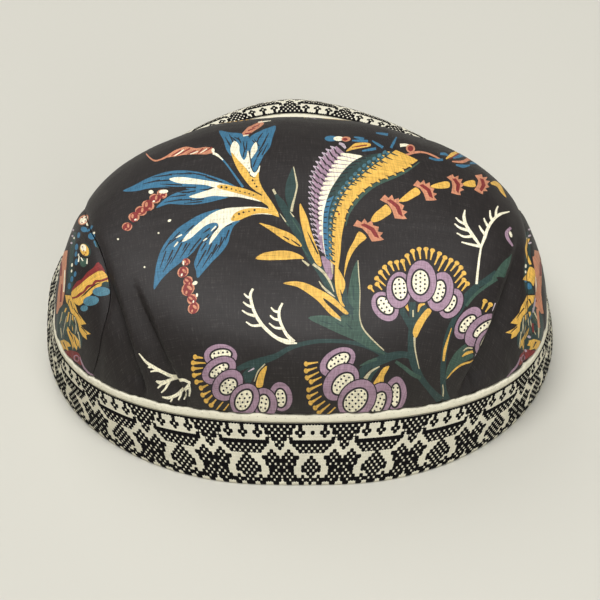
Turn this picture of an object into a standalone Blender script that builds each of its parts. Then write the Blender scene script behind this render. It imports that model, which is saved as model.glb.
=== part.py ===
"""Soft printed cotton bonnet with a woven band round its edge, as closed solids.

The bonnet rests on its rim on the plane z = 0, with the nape toward -Y, the front toward +Y
and its crown up. Lengths below are in millimetres and angles in degrees. The mesh is built in
metres.
"""
import bpy
import numpy as np
from mathutils import Vector

MM = 0.001

# Where the middle line of both eggs lies, so that the bulged edge is centred on x = 0.
MIDDLE_X = 0.39

# Rim, where the bonnet stands: an egg of two half superellipses joined at its widest line.
RIM_HALF_WIDTH = 89.0
RIM_BACK = 75.5
RIM_FRONT = 116.5
RIM_BACK_POWER = 2.14
RIM_FRONT_POWER = 1.9
RIM_WIDEST_Y = -22.2

# Seam between crown and band, a smaller egg above the rim.
SEAM_HALF_WIDTH = 84.6
SEAM_BACK = 51.8
SEAM_FRONT = 107.2
SEAM_BACK_POWER = 2.28
SEAM_FRONT_POWER = 1.9
SEAM_WIDEST_Y = -37.4

# Values at the nape, the sides and the front.
SEAM_HEIGHT = (27.0, 25.0, 16.0)
BAND_SWELL = (0.4, 0.4, 4.8)
CROWN_LEAN = (-5.0, 2.3, 64.6)
LOWER_PULL = (0.563, 0.606, 0.392)
UPPER_PULL = (0.518, 0.537, 0.517)
CROWN_TOP = (0.39, -13.9, 60.8)

# How far round the rim a point lies from the seam point above it, at the sides.
SIDE_SHIFT = 9.0

# Small bulges of the handmade edge: angle, half width, rim outward, seam outward, seam upward.
BULGES = (
    (270.0, 16.0, -1.3, 0.0, 0.0),
    (94.0, 12.0, 2.5, 0.0, 0.9),
    (68.0, 14.0, -1.6, 0.0, -0.6),
    (120.0, 14.0, -1.6, 0.0, -0.6),
    (158.0, 9.0, 2.5, 0.0, 0.0),
    (172.0, 16.0, 0.0, -1.0, 0.0),
)

BAND_WALL = 2.4
BINDING_WALL = 2.4
BINDING_PROUD = 0.3
CROWN_WALL = 1.6
BINDING_SHARE = 0.105
GAP = 0.36

# Side seams of the crown, as points on the unit disc that stands for the crown seen from above.
LEFT_SEAM = ((-0.905, 0.425), (-0.76, 0.2), (-0.618, -0.1), (-0.598, -0.37), (-0.7, -0.55), (-0.8, -0.6))
RIGHT_SEAM = ((0.85, 0.527), (0.775, 0.22), (0.757, -0.08), (0.79, -0.26), (0.875, -0.484))

# Soft tucks: three disc points along each, its half width and its depth.
TUCKS = (
    ((-0.585, -0.36), (-0.56, -0.52), (-0.6, -0.74), 5.0, 1.3),
    ((-0.5, -0.45), (-0.44, -0.62), (-0.39, -0.83), 5.0, 1.1),
    ((0.69, 0.05), (0.70, -0.33), (0.6, -0.78), 6.0, 1.6),
    ((0.86, -0.05), (0.84, -0.22), (0.87, -0.4), 5.0, 1.0),
)
DISC_SCALE = 85.0

AROUND = 96
BAND_ROWS = 5
BINDING_ROWS = 2
PANEL_ROWS = 30
CENTRE_COLUMNS = 28
SIDE_COLUMNS = 6

COTTON_BLACK = (0.035, 0.027, 0.03, 1.0)
BAND_GREY = (0.22, 0.21, 0.19, 1.0)
TWILL_CREAM = (0.78, 0.72, 0.6, 1.0)


def around(angle, values):
    """Blend a nape, a side and a front value smoothly round the bonnet."""
    nape, side, front = values
    ahead = np.sin(angle)
    ends = (nape * (1.0 - ahead) + front * (1.0 + ahead)) / 2.0
    return side * np.cos(angle) ** 2 + ends * ahead ** 2


def egg(angle, half_width, back, front, back_power, front_power, widest_y, height):
    """Points of an egg made of two half superellipses, at the given heights."""
    c, s = np.cos(angle), np.sin(angle)
    power = 2.0 / np.where(s < 0.0, back_power, front_power)
    reach = np.where(s < 0.0, back, front)
    x = MIDDLE_X + half_width * np.sign(c) * np.abs(c) ** power
    y = widest_y + reach * np.sign(s) * np.abs(s) ** power
    return np.stack([x, y, height + 0.0 * x], axis=-1)


def bulge(angle, column):
    """Sum of the bell-shaped bulges at each angle, for one column of their table."""
    total = np.zeros_like(angle)
    for row in BULGES:
        turn = (np.degrees(angle) - row[0] + 180.0) % 360.0 - 180.0
        total = total + row[column] * np.exp(-(turn / row[1]) ** 2)
    return total


def pushed(points, angle, outward, upward):
    """Points moved level along their angle, and up."""
    move = np.stack([outward * np.cos(angle), outward * np.sin(angle), upward], axis=-1)
    return points + move


def seam_line(angle):
    """The line where crown and band are sewn together."""
    line = egg(angle, SEAM_HALF_WIDTH, SEAM_BACK, SEAM_FRONT, SEAM_BACK_POWER, SEAM_FRONT_POWER,
               SEAM_WIDEST_Y, around(angle, SEAM_HEIGHT))
    return pushed(line, angle, bulge(angle, 3), bulge(angle, 4))


def rim_line(angle):
    """The flat line that the bonnet stands on, shifted to lie square below the seam."""
    shifted = angle - np.radians(SIDE_SHIFT) * np.cos(angle)
    line = egg(shifted, RIM_HALF_WIDTH, RIM_BACK, RIM_FRONT, RIM_BACK_POWER, RIM_FRONT_POWER,
               RIM_WIDEST_Y, 0.0)
    return pushed(line, angle, bulge(angle, 2), np.zeros_like(angle))


def unit(vectors):
    """Vectors scaled to length one."""
    return vectors / np.linalg.norm(vectors, axis=-1, keepdims=True)


def band_surface(angle, rise):
    """Outer face of the band: a straight rule from rim to seam, swelled like a low arch."""
    low, high = rim_line(angle), seam_line(angle)
    along = rim_line(angle + 0.001) - rim_line(angle - 0.001)
    out = unit(np.cross(along, high - low))
    swell = around(angle, BAND_SWELL) * 4.0 * rise * (1.0 - rise)
    return low + (high - low) * rise[..., None] + out * swell[..., None]


def band_normal(angle, rise):
    """Outward direction of the band, turned level at the rim so that its foot stays flat."""
    step = 0.002
    along = band_surface(angle + step, rise) - band_surface(angle - step, rise)
    up = band_surface(angle, rise + step) - band_surface(angle, rise - step)
    out = unit(np.cross(along, up))
    out[..., 2] *= np.clip(rise / 0.3, 0.0, 1.0)
    return unit(out)


def tuck_depth(u, v):
    """How far the tucks draw the crown in, each a soft valley along a bent line."""
    total = np.zeros_like(u)
    for start, middle, end, half_width, depth in TUCKS:
        t = np.linspace(0.0, 1.0, 25)[:, None]
        line = (1 - t) ** 2 * np.array(start) + 2 * t * (1 - t) * np.array(middle) + t ** 2 * np.array(end)
        far = np.hypot(u[..., None] - line[:, 0], v[..., None] - line[:, 1])
        total += depth * np.exp(-(far.min(axis=-1) * DISC_SCALE / half_width) ** 2)
    return total


def crown_base(u, v):
    """Crown over the disc: from each seam point a cubic curve runs up and in to the top."""
    angle, t = np.arctan2(v, u), 1.0 - np.hypot(u, v)
    low, top = seam_line(angle), np.array(CROWN_TOP)
    inward = top - low
    inward[..., 2] = 0.0
    reach = np.linalg.norm(inward, axis=-1)
    inward = inward / reach[..., None]
    lean = np.radians(around(angle, CROWN_LEAN))
    rise = inward * np.sin(lean)[..., None]
    rise[..., 2] += np.cos(lean)
    lower = low + rise * (around(angle, LOWER_PULL) * reach)[..., None]
    upper = top - inward * (around(angle, UPPER_PULL) * reach)[..., None]
    t = t[..., None]
    return (1 - t) ** 3 * low + 3 * (1 - t) ** 2 * t * lower + 3 * (1 - t) * t ** 2 * upper + t ** 3 * top


def crown_normal(u, v):
    """Outward direction of the crown."""
    step = 0.004
    across = crown_base(u + step, v) - crown_base(u - step, v)
    along = crown_base(u, v + step) - crown_base(u, v - step)
    return unit(np.cross(across, along))


def crown_surface(u, v):
    """Outer face of the crown with its tucks, which fade out toward the seam with the band."""
    fade = np.clip((1.0 - np.hypot(u, v)) / 0.08, 0.0, 1.0)
    return crown_base(u, v) - crown_normal(u, v) * (tuck_depth(u, v) * fade)[..., None]


def smooth_line(points, count):
    """A smooth line through the points, with equal steps between neighbours."""
    p = np.array(points)
    p = np.vstack([2 * p[0] - p[1], p, 2 * p[-1] - p[-2]])
    place = np.linspace(0.0, len(points) - 1.0, count)
    i = np.minimum(place.astype(int), len(points) - 2)
    t = (place - i)[:, None]
    a, b, c, d = p[i], p[i + 1], p[i + 2], p[i + 3]
    return 0.5 * (2 * b + (c - a) * t + (2 * a - 5 * b + 4 * c - d) * t ** 2
                  + (3 * b - 3 * c + d - a) * t ** 3)


def disc_arc(start, end, count):
    """Points just inside the rim of the disc, from the angle of one point to that of another."""
    first, last = np.arctan2(start[1], start[0]), np.arctan2(end[1], end[0])
    if last < first:
        last += 2.0 * np.pi
    angle = np.linspace(first, last, count)
    edge = 1.0 - GAP / DISC_SCALE
    return edge * np.stack([np.cos(angle), np.sin(angle)], axis=-1)


def blend_patch(low, high, left, right):
    """Fill four bounding lines with a grid, as a cloth stretched between them."""
    a = np.linspace(0.0, 1.0, len(low))[:, None, None]
    b = np.linspace(0.0, 1.0, len(left))[None, :, None]
    across = (1 - b) * low[:, None] + b * high[:, None]
    along = (1 - a) * left[None] + a * right[None]
    corners = ((1 - a) * (1 - b) * low[0] + a * (1 - b) * low[-1]
               + (1 - a) * b * high[0] + a * b * high[-1])
    return across + along - corners


def seam_side(points, side):
    """A side seam on the disc, moved square to itself by half the gap between the panels."""
    line = smooth_line(points, PANEL_ROWS + 1)
    step = np.gradient(line, axis=0)
    square = unit(np.stack([-step[:, 1], step[:, 0]], axis=-1))
    line = line + side * 0.5 * GAP / DISC_SCALE * square
    edge = 1.0 - GAP / DISC_SCALE
    return line * np.minimum(1.0, edge / np.linalg.norm(line, axis=1, keepdims=True))


def centre_grid():
    """Disc grid of the centre panel, bounded by the side seams, the nape and the front."""
    left = seam_side(LEFT_SEAM, 1.0)[::-1]
    right = seam_side(RIGHT_SEAM, -1.0)[::-1]
    nape = disc_arc(left[0], right[0], CENTRE_COLUMNS + 1)
    front = disc_arc(right[-1], left[-1], CENTRE_COLUMNS + 1)[::-1]
    nape[0], nape[-1], front[0], front[-1] = left[0], right[0], left[-1], right[-1]
    return blend_patch(nape, front, left, right)


def side_grid(points, side):
    """Disc grid of a side panel, a lens between its seam and the edge of the crown."""
    inner = seam_side(points, side)[1:-1]
    if side > 0.0:
        inner = inner[::-1]
    outer = disc_arc(inner[0], inner[-1], len(inner))
    b = np.linspace(0.0, 1.0, SIDE_COLUMNS + 1)[None, :, None]
    return (1 - b) * outer[:, None] + b * inner[:, None]


def sheet_shell(outer, inner):
    """Vertices and faces of a closed sheet from its outer and inner grid."""
    rows, cols = outer.shape[:2]
    count = rows * cols
    index = np.arange(count).reshape(rows, cols)
    a, b, c, d = index[:-1, :-1], index[1:, :-1], index[1:, 1:], index[:-1, 1:]
    top = np.stack([a, b, c, d], axis=-1).reshape(-1, 4)
    faces = [top, top[:, ::-1] + count]
    ring = np.concatenate([index[:, 0], index[-1, 1:], index[-2::-1, -1], index[0, -2:0:-1]])
    after = np.roll(ring, -1)
    faces.append(np.stack([ring, ring + count, after + count, after], axis=-1))
    points = np.concatenate([outer.reshape(-1, 3), inner.reshape(-1, 3)])
    return points, np.concatenate(faces)


def loop_shell(outer, inner):
    """Vertices and faces of a closed loop from its outer and inner grid, rows going round."""
    section = np.concatenate([outer, inner[:, ::-1]], axis=1)
    rows, cols = section.shape[:2]
    index = np.arange(rows * cols).reshape(rows, cols)
    right, up = np.roll(index, -1, axis=0), np.roll(index, -1, axis=1)
    faces = np.stack([index, right, np.roll(right, -1, axis=1), up], axis=-1).reshape(-1, 4)
    return section.reshape(-1, 3), faces


def add_solid(name, points, faces, colour, roughness):
    """Make a mesh object with its own material from points in millimetres."""
    mesh = bpy.data.meshes.new(name)
    mesh.from_pydata([Vector(p) * MM for p in points.tolist()], [], faces.tolist())
    mesh.validate()
    mesh.shade_smooth()
    mesh.set_sharp_from_angle(angle=np.radians(50.0))
    material = bpy.data.materials.new(name + "_cloth")
    material.use_nodes = True
    shader = material.node_tree.nodes["Principled BSDF"]
    shader.inputs["Base Color"].default_value = colour
    shader.inputs["Roughness"].default_value = roughness
    shader.inputs["Metallic"].default_value = 0.0
    mesh.materials.append(material)
    piece = bpy.data.objects.new(name, mesh)
    bpy.context.collection.objects.link(piece)
    return piece


def add_panel(name, grid):
    """Make one crown panel from its disc grid."""
    u, v = grid[..., 0], grid[..., 1]
    outer = crown_surface(u, v)
    inner = outer - CROWN_WALL * crown_normal(u, v)
    points, faces = sheet_shell(outer, inner)
    return add_solid(name, points, faces, COTTON_BLACK, 0.85)


def add_loop(name, low, high, rows, wall, proud, colour):
    """Make a loop of the edge, between two shares of the way from rim to seam."""
    angle = np.linspace(0.0, 2.0 * np.pi, AROUND, endpoint=False)
    angle, rise = np.meshgrid(angle, np.linspace(low, high, rows + 1), indexing="ij")
    out = band_normal(angle, rise)
    outer = band_surface(angle, rise) + proud * out
    inner = outer - wall * out
    points, faces = loop_shell(outer, inner)
    return add_solid(name, points, faces, colour, 0.9)


def main():
    """Build the five pieces of the bonnet."""
    for old in list(bpy.data.objects):
        bpy.data.objects.remove(old, do_unlink=True)
    band_height = float(np.linalg.norm(seam_line(np.array([-np.pi / 2])) - rim_line(np.array([-np.pi / 2]))))
    split = 1.0 - BINDING_SHARE
    add_loop("edge_band", 0.0, split - GAP / band_height, BAND_ROWS, BAND_WALL, 0.0, BAND_GREY)
    add_loop("seam_binding", split, 1.0, BINDING_ROWS, BINDING_WALL, BINDING_PROUD, TWILL_CREAM)
    add_panel("crown_panel", centre_grid())
    add_panel("left_side_panel", side_grid(LEFT_SEAM, -1.0))
    add_panel("right_side_panel", side_grid(RIGHT_SEAM, 1.0))


main()
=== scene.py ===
"""Looks of a soft cotton bonnet: printed crown, narrow binding and a woven band round its edge.

Lengths are in millimetres until a mesh is made. The nape faces -Y and the rim stands on z = 0.
"""
import logging
from dataclasses import dataclass, field
from enum import Enum

import bpy
import numpy as np
from mathutils import Matrix, Vector
from mathutils.geometry import delaunay_2d_cdt


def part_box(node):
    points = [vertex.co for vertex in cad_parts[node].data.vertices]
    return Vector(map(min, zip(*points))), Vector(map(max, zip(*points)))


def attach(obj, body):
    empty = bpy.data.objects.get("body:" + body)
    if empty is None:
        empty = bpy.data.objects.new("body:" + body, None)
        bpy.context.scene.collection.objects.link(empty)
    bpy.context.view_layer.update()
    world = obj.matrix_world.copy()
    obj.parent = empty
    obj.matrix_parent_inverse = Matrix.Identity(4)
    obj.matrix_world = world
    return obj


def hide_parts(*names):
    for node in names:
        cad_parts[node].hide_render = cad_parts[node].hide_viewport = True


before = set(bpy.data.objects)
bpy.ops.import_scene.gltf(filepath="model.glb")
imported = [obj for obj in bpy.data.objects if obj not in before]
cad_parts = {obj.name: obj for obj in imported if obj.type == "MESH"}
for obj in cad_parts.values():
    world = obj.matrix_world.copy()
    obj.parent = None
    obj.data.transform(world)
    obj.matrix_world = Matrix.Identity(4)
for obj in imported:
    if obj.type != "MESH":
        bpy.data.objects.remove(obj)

LOG = logging.getLogger("bonnet")
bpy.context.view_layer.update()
MM = 0.001
FRAME_PIXELS = 600.0
Array = np.ndarray


def unit(vectors: Array) -> Array:
    """Scale vectors to length one along the last axis."""
    return vectors / np.maximum(np.linalg.norm(vectors, axis=-1, keepdims=True), 1e-12)


def ripple(x: Array, seed: float) -> Array:
    """Smooth endless wobble from -1 to 1: a sum of four sines whose rates share no divisor."""
    rates = np.array([1.0, 1.618, 2.414, 3.303])
    shares = np.array([0.4, 0.28, 0.2, 0.12])
    phase = seed * np.array([1.7, 4.1, 2.3, 5.9])
    return (shares * np.sin(x[..., None] * rates + phase)).sum(axis=-1)


@dataclass(frozen=True)
class Form:
    """Shape of the bonnet, in millimetres and degrees, with its size taken from the frame."""

    rim_half_width: float
    rim_back: float
    rim_front: float
    rim_widest_y: float
    rim_powers: tuple[float, float] = (2.14, 1.9)
    seam_half_width: float = 84.6
    seam_back: float = 51.8
    seam_front: float = 107.2
    seam_powers: tuple[float, float] = (2.28, 1.9)
    seam_widest_y: float = -37.4
    seam_height: tuple[float, float, float] = (27.0, 25.0, 16.0)
    band_swell: tuple[float, float, float] = (0.4, 0.4, 4.8)
    crown_lean: tuple[float, float, float] = (-5.0, 2.3, 64.6)
    lower_pull: tuple[float, float, float] = (0.563, 0.606, 0.392)
    upper_pull: tuple[float, float, float] = (0.518, 0.537, 0.517)
    crown_top: tuple[float, float, float] = (0.39, -13.9, 60.8)
    side_shift: float = 9.0
    front_fill: float = 4.6
    fill_place: tuple[float, float] = (-0.03, 0.46)
    fill_reach: tuple[float, float] = (0.38, 0.36)
    fill_edge: float = 0.25
    disc_scale: float = 85.0
    binding_share: float = 0.105
    middle_x: float = 0.39
    bulges: tuple[tuple[float, ...], ...] = (
        (270.0, 16.0, -1.3, 0.0, 0.0),
        (94.0, 12.0, 2.5, 0.0, 0.9),
        (68.0, 14.0, -1.6, 0.0, -0.6),
        (120.0, 14.0, -1.6, 0.0, -0.6),
        (158.0, 9.0, 2.5, 0.0, 0.0),
        (172.0, 16.0, 0.0, -1.0, 0.0),
    )

    @classmethod
    def from_frame(cls) -> "Form":
        """Take the rim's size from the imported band, which is 192.8 mm long at full size."""
        low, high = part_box("edge_band")
        stretch = (high.y - low.y) / MM / 192.8
        return cls(89.0 * stretch, 75.5 * stretch, 116.5 * stretch, -22.2 * stretch)

    @staticmethod
    def around(angle: Array, values: tuple[float, float, float]) -> Array:
        """Blend a nape, a side and a front value smoothly round the bonnet."""
        nape, side, front = values
        ahead = np.sin(angle)
        ends = (nape * (1.0 - ahead) + front * (1.0 + ahead)) / 2.0
        return side * np.cos(angle) ** 2 + ends * ahead ** 2

    def bulge(self, angle: Array, column: int) -> Array:
        """Sum of the bell-shaped bulges of the handmade edge, for one column of their table."""
        total = np.zeros_like(angle)
        for row in self.bulges:
            turn = (np.degrees(angle) - row[0] + 180.0) % 360.0 - 180.0
            total = total + row[column] * np.exp(-(turn / row[1]) ** 2)
        return total

    @staticmethod
    def pushed(points: Array, angle: Array, outward: Array, upward: Array) -> Array:
        """Move points level along their angle, and up."""
        return points + np.stack([outward * np.cos(angle), outward * np.sin(angle), upward], axis=-1)

    def egg(self, angle: Array, half_width: float, back: float, front: float,
            powers: tuple[float, float], widest_y: float, height: Array) -> Array:
        """Points of an egg made of two half superellipses.

        Args:
            angle: Places round the egg, from +X toward +Y.
            half_width: Half the egg's width.
            back: Reach from the widest line toward -Y.
            front: Reach from the widest line toward +Y.
            powers: Superellipse powers of the back and the front half.
            widest_y: Where the widest line lies.
            height: Height of each point.

        Returns:
            Points, one for each angle.
        """
        c, s = np.cos(angle), np.sin(angle)
        power = 2.0 / np.where(s < 0.0, powers[0], powers[1])
        reach = np.where(s < 0.0, back, front)
        x = self.middle_x + half_width * np.sign(c) * np.abs(c) ** power
        y = widest_y + reach * np.sign(s) * np.abs(s) ** power
        return np.stack([x, y, height], axis=-1)

    def seam_line(self, angle: Array) -> Array:
        """The line where crown and band are sewn together."""
        line = self.egg(angle, self.seam_half_width, self.seam_back, self.seam_front,
                        self.seam_powers, self.seam_widest_y, self.around(angle, self.seam_height))
        return self.pushed(line, angle, self.bulge(angle, 3), self.bulge(angle, 4))

    def rim_line(self, angle: Array) -> Array:
        """The flat line that the bonnet stands on."""
        shifted = angle - np.radians(self.side_shift) * np.cos(angle)
        line = self.egg(shifted, self.rim_half_width, self.rim_back, self.rim_front,
                        self.rim_powers, self.rim_widest_y, np.zeros_like(angle))
        return self.pushed(line, angle, self.bulge(angle, 2), np.zeros_like(angle))

    def band(self, angle: Array, rise: Array) -> Array:
        """Outer face of the band: a straight rule from rim to seam, swelled like a low arch."""
        low, high = self.rim_line(angle), self.seam_line(angle)
        along = self.rim_line(angle + 0.001) - self.rim_line(angle - 0.001)
        out = unit(np.cross(along, high - low))
        swell = self.around(angle, self.band_swell) * 4.0 * rise * (1.0 - rise)
        return low + (high - low) * rise[..., None] + out * swell[..., None]

    def band_normal(self, angle: Array, rise: Array) -> Array:
        """Outward direction of the band, turned level at the rim."""
        step = 0.002
        along = self.band(angle + step, rise) - self.band(angle - step, rise)
        up = self.band(angle, rise + step) - self.band(angle, rise - step)
        out = unit(np.cross(along, up))
        out[..., 2] *= np.clip(rise / 0.3, 0.0, 1.0)
        return unit(out)

    def crown(self, u: Array, v: Array) -> Array:
        """Smooth crown over the unit disc: a cubic curve runs up and in from each seam point, and
        the cloth swells a little over the front as a bell curve."""
        angle, t = np.arctan2(v, u), 1.0 - np.hypot(u, v)
        low, top = self.seam_line(angle), np.array(self.crown_top)
        inward = top - low
        inward[..., 2] = 0.0
        reach = np.linalg.norm(inward, axis=-1)
        inward = inward / reach[..., None]
        lean = np.radians(self.around(angle, self.crown_lean))
        rise = inward * np.sin(lean)[..., None]
        rise[..., 2] += np.cos(lean)
        lower = low + rise * (self.around(angle, self.lower_pull) * reach)[..., None]
        upper = top - inward * (self.around(angle, self.upper_pull) * reach)[..., None]
        t = t[..., None]
        across, ahead = ((place - middle) / reach for place, middle, reach
                         in zip((u, v), self.fill_place, self.fill_reach))
        swell = (self.front_fill * np.exp(-ahead ** 2 - across ** 4)
                 * np.clip((1.0 - np.hypot(u, v)) / self.fill_edge, 0.0, 1.0))
        return ((1 - t) ** 3 * low + 3 * (1 - t) ** 2 * t * lower
                + 3 * (1 - t) * t ** 2 * upper + t ** 3 * top
                + swell[..., None] * unit(np.array([0.0, 1.0, 1.0])))

    def crown_normal(self, u: Array, v: Array) -> Array:
        """Outward direction of the smooth crown."""
        step = 0.004
        across = self.crown(u + step, v) - self.crown(u - step, v)
        along = self.crown(u, v + step) - self.crown(u, v - step)
        return unit(np.cross(across, along))


@dataclass(frozen=True)
class Tuck:
    """A soft fold: a valley along a bent line on the crown's disc, steeper on one side."""

    start: tuple[float, float]
    middle: tuple[float, float]
    end: tuple[float, float]
    widths: tuple[float, float]
    depth: float

    def fall(self, u: Array, v: Array, scale: float) -> Array:
        """How far the fold draws the cloth in: a bell curve of the distance to its line, whose
        width differs on the line's left and right, and which dies away toward the line's start."""
        t = np.linspace(0.0, 1.0, 41)[:, None]
        line = ((1 - t) ** 2 * np.array(self.start) + 2 * t * (1 - t) * np.array(self.middle)
                + t ** 2 * np.array(self.end))
        far = np.full(u.shape, np.inf)
        side = np.zeros(u.shape)
        place = np.zeros(u.shape)
        for k, (a, b) in enumerate(zip(line[:-1], line[1:])):
            run = b - a
            share = np.clip(((u - a[0]) * run[0] + (v - a[1]) * run[1]) / (run @ run), 0.0, 1.0)
            du, dv = u - a[0] - share * run[0], v - a[1] - share * run[1]
            here = np.hypot(du, dv)
            nearer = here < far
            far = np.where(nearer, here, far)
            side = np.where(nearer, run[0] * dv - run[1] * du, side)
            place = np.where(nearer, (k + share) / 40.0, place)
        width = np.where(side > 0.0, *self.widths)
        grown = np.sin(np.clip(1.7 * place, 0.0, 1.0) * np.pi / 2.0) ** 2
        return self.depth * grown * np.exp(-(far * scale / width) ** 2)


TUCKS = (
    Tuck((-0.60, -0.20), (-0.555, -0.48), (-0.56, -0.80), (1.0, 6.5), 3.3),
    Tuck((-0.5, -0.32), (-0.44, -0.62), (-0.39, -0.88), (1.0, 6.0), 2.8),
    Tuck((0.69, 0.12), (0.70, -0.33), (0.58, -0.84), (7.5, 1.7), 3.4),
    Tuck((0.86, 0.0), (0.84, -0.22), (0.87, -0.42), (5.0, 1.6), 1.6),
    Tuck((0.30, -0.62), (0.32, -0.80), (0.30, -0.95), (2.4, 3.6), 1.0),
    Tuck((-0.14, -0.70), (-0.12, -0.84), (-0.13, -0.96), (3.4, 2.2), 0.9),
)
LEFT_SEAM = ((-0.905, 0.425), (-0.76, 0.2), (-0.618, -0.1), (-0.598, -0.37), (-0.7, -0.55), (-0.8, -0.6))
RIGHT_SEAM = ((0.85, 0.527), (0.775, 0.22), (0.757, -0.08), (0.79, -0.26), (0.875, -0.484))


def smooth_line(points: Array, steps: int = 8, closed: bool = False) -> Array:
    """Run a smooth line through points, as a Catmull-Rom spline.

    Args:
        points: The points that the line passes.
        steps: Pieces between two points.
        closed: Whether the line comes back to its start.

    Returns:
        The points of the line, with the last one left out where it is closed.
    """
    p = np.asarray(points, float)
    n = len(p)
    if closed:
        p = np.vstack([p[-1], p, p[0], p[1]])
        spans = n
    else:
        p = np.vstack([2 * p[0] - p[1], p, 2 * p[-1] - p[-2]])
        spans = n - 1
    place = np.arange(spans * steps + (0 if closed else 1)) / steps
    i = np.minimum(place.astype(int), spans - 1)
    t = (place - i)[:, None]
    a, b, c, d = p[i], p[i + 1], p[i + 2], p[i + 3]
    return 0.5 * (2 * b + (c - a) * t + (2 * a - 5 * b + 4 * c - d) * t ** 2
                  + (3 * b - 3 * c + d - a) * t ** 3)


def inside(points: Array, outline: Array) -> Array:
    """Whether each point lies in a closed outline: an odd count of crossings to its right."""
    x, y = points[:, 0], points[:, 1]
    hit = np.zeros(len(points), bool)
    near = ((x >= outline[:, 0].min()) & (x <= outline[:, 0].max())
            & (y >= outline[:, 1].min()) & (y <= outline[:, 1].max()))
    px, py = x[near], y[near]
    odd = np.zeros(len(px), bool)
    for a, b in zip(outline, np.roll(outline, -1, axis=0)):
        if a[1] == b[1]:
            continue
        cross = (a[1] > py) != (b[1] > py)
        odd ^= cross & (px < (b[0] - a[0]) * (py - a[1]) / (b[1] - a[1]) + a[0])
    hit[near] = odd
    return hit


@dataclass
class PhotoView:
    """The camera's view, which also carries a place in the picture onto the crown."""

    form: Form
    elevation: float = 45.0
    distance: float = 930.8
    focal_pixels: float = 2688.6
    aim: tuple[float, float, float] = (0.39, -29.5, 20.8)
    steps: int = 30
    least_slope: float = 45.0

    def axes(self) -> tuple[Array, Array, Array]:
        """Right, up and backward directions of the camera."""
        e = np.radians(self.elevation)
        back = np.array([0.0, -np.cos(e), np.sin(e)])
        right = np.array([1.0, 0.0, 0.0])
        return right, np.cross(back, right), back

    def eye(self) -> Array:
        """Where the camera stands."""
        return np.array(self.aim) + self.axes()[2] * self.distance

    def project(self, points: Array) -> Array:
        """Picture places of points, in pixels from the top left corner."""
        right, up, back = self.axes()
        d = points - np.array(self.aim)
        depth = self.distance - d @ back
        half = FRAME_PIXELS / 2.0
        return np.stack([half + self.focal_pixels * (d @ right) / depth,
                         half - self.focal_pixels * (d @ up) / depth], axis=-1)

    def slopes(self, at: Array) -> Array:
        """How the picture place moves with the disc place: a two by two table for each point."""
        step = 0.002
        columns = []
        for du, dv in ((step, 0.0), (0.0, step)):
            ahead = self.project(self.form.crown(at[:, 0] + du, at[:, 1] + dv))
            behind = self.project(self.form.crown(at[:, 0] - du, at[:, 1] - dv))
            columns.append((ahead - behind) / (2.0 * step))
        return np.stack(columns, axis=-1)

    def to_disc(self, pixels: Array) -> Array:
        """Carry picture places onto the crown's disc.

        Each place is reached by small steps along a straight line in the picture, from one
        start in its middle. Where the crown turns edge on, a step counts no more than the
        limit allows, so that the print isn't drawn out. Newton's method then settles the
        places that never met the limit.

        Args:
            pixels: Places in the picture.

        Returns:
            Places on the unit disc.
        """
        at = np.tile(np.array([0.0, -0.2]), (len(pixels), 1))
        move = (pixels - self.project(self.form.crown(at[:, 0], at[:, 1]))) / self.steps
        free = np.ones(len(pixels), bool)
        for _ in range(self.steps):
            half = at
            for share in (0.5, 1.0):
                left, size, right = np.linalg.svd(self.slopes(half))
                turned = np.einsum("nji,nj->ni", left, move) / np.maximum(size, self.least_slope)
                half = at + share * np.einsum("nji,nj->ni", right, turned)
            free &= size.min(axis=1) > self.least_slope
            at = half / np.maximum(1.0, np.linalg.norm(half, axis=1, keepdims=True) / 0.9995)
        for _ in range(3):
            miss = pixels - self.project(self.form.crown(at[:, 0], at[:, 1]))
            fix = np.linalg.solve(self.slopes(at[free]), miss[free][..., None])[..., 0]
            at[free] += np.clip(fix, -0.02, 0.02)
        return at / np.maximum(1.0, np.linalg.norm(at, axis=1, keepdims=True) / 0.9995)


class Ink(Enum):
    """Colours printed on the cotton, as linear red, green and blue."""

    GROUND = (0.0122, 0.0086, 0.0076)
    OUTLINE = (0.012, 0.007, 0.010)
    BLUE = (0.038, 0.156, 0.262)
    TEAL = (0.018, 0.046, 0.041)
    GREEN = (0.040, 0.085, 0.060)
    YELLOW = (0.75, 0.44, 0.078)
    CREAM = (0.90, 0.84, 0.62)
    EDGE = (0.56, 0.50, 0.31)
    BEAD = (0.075, 0.200, 0.260)
    MAUVE = (0.36, 0.23, 0.30)
    RED = (0.22, 0.022, 0.020)
    LILAC = (0.52, 0.43, 0.48)
    SCALE = (0.050, 0.15, 0.19)
    CORAL = (0.58, 0.24, 0.13)


@dataclass
class Patch:
    """One printed shape: a closed outline and its ink."""

    outline: Array
    ink: Ink


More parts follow.
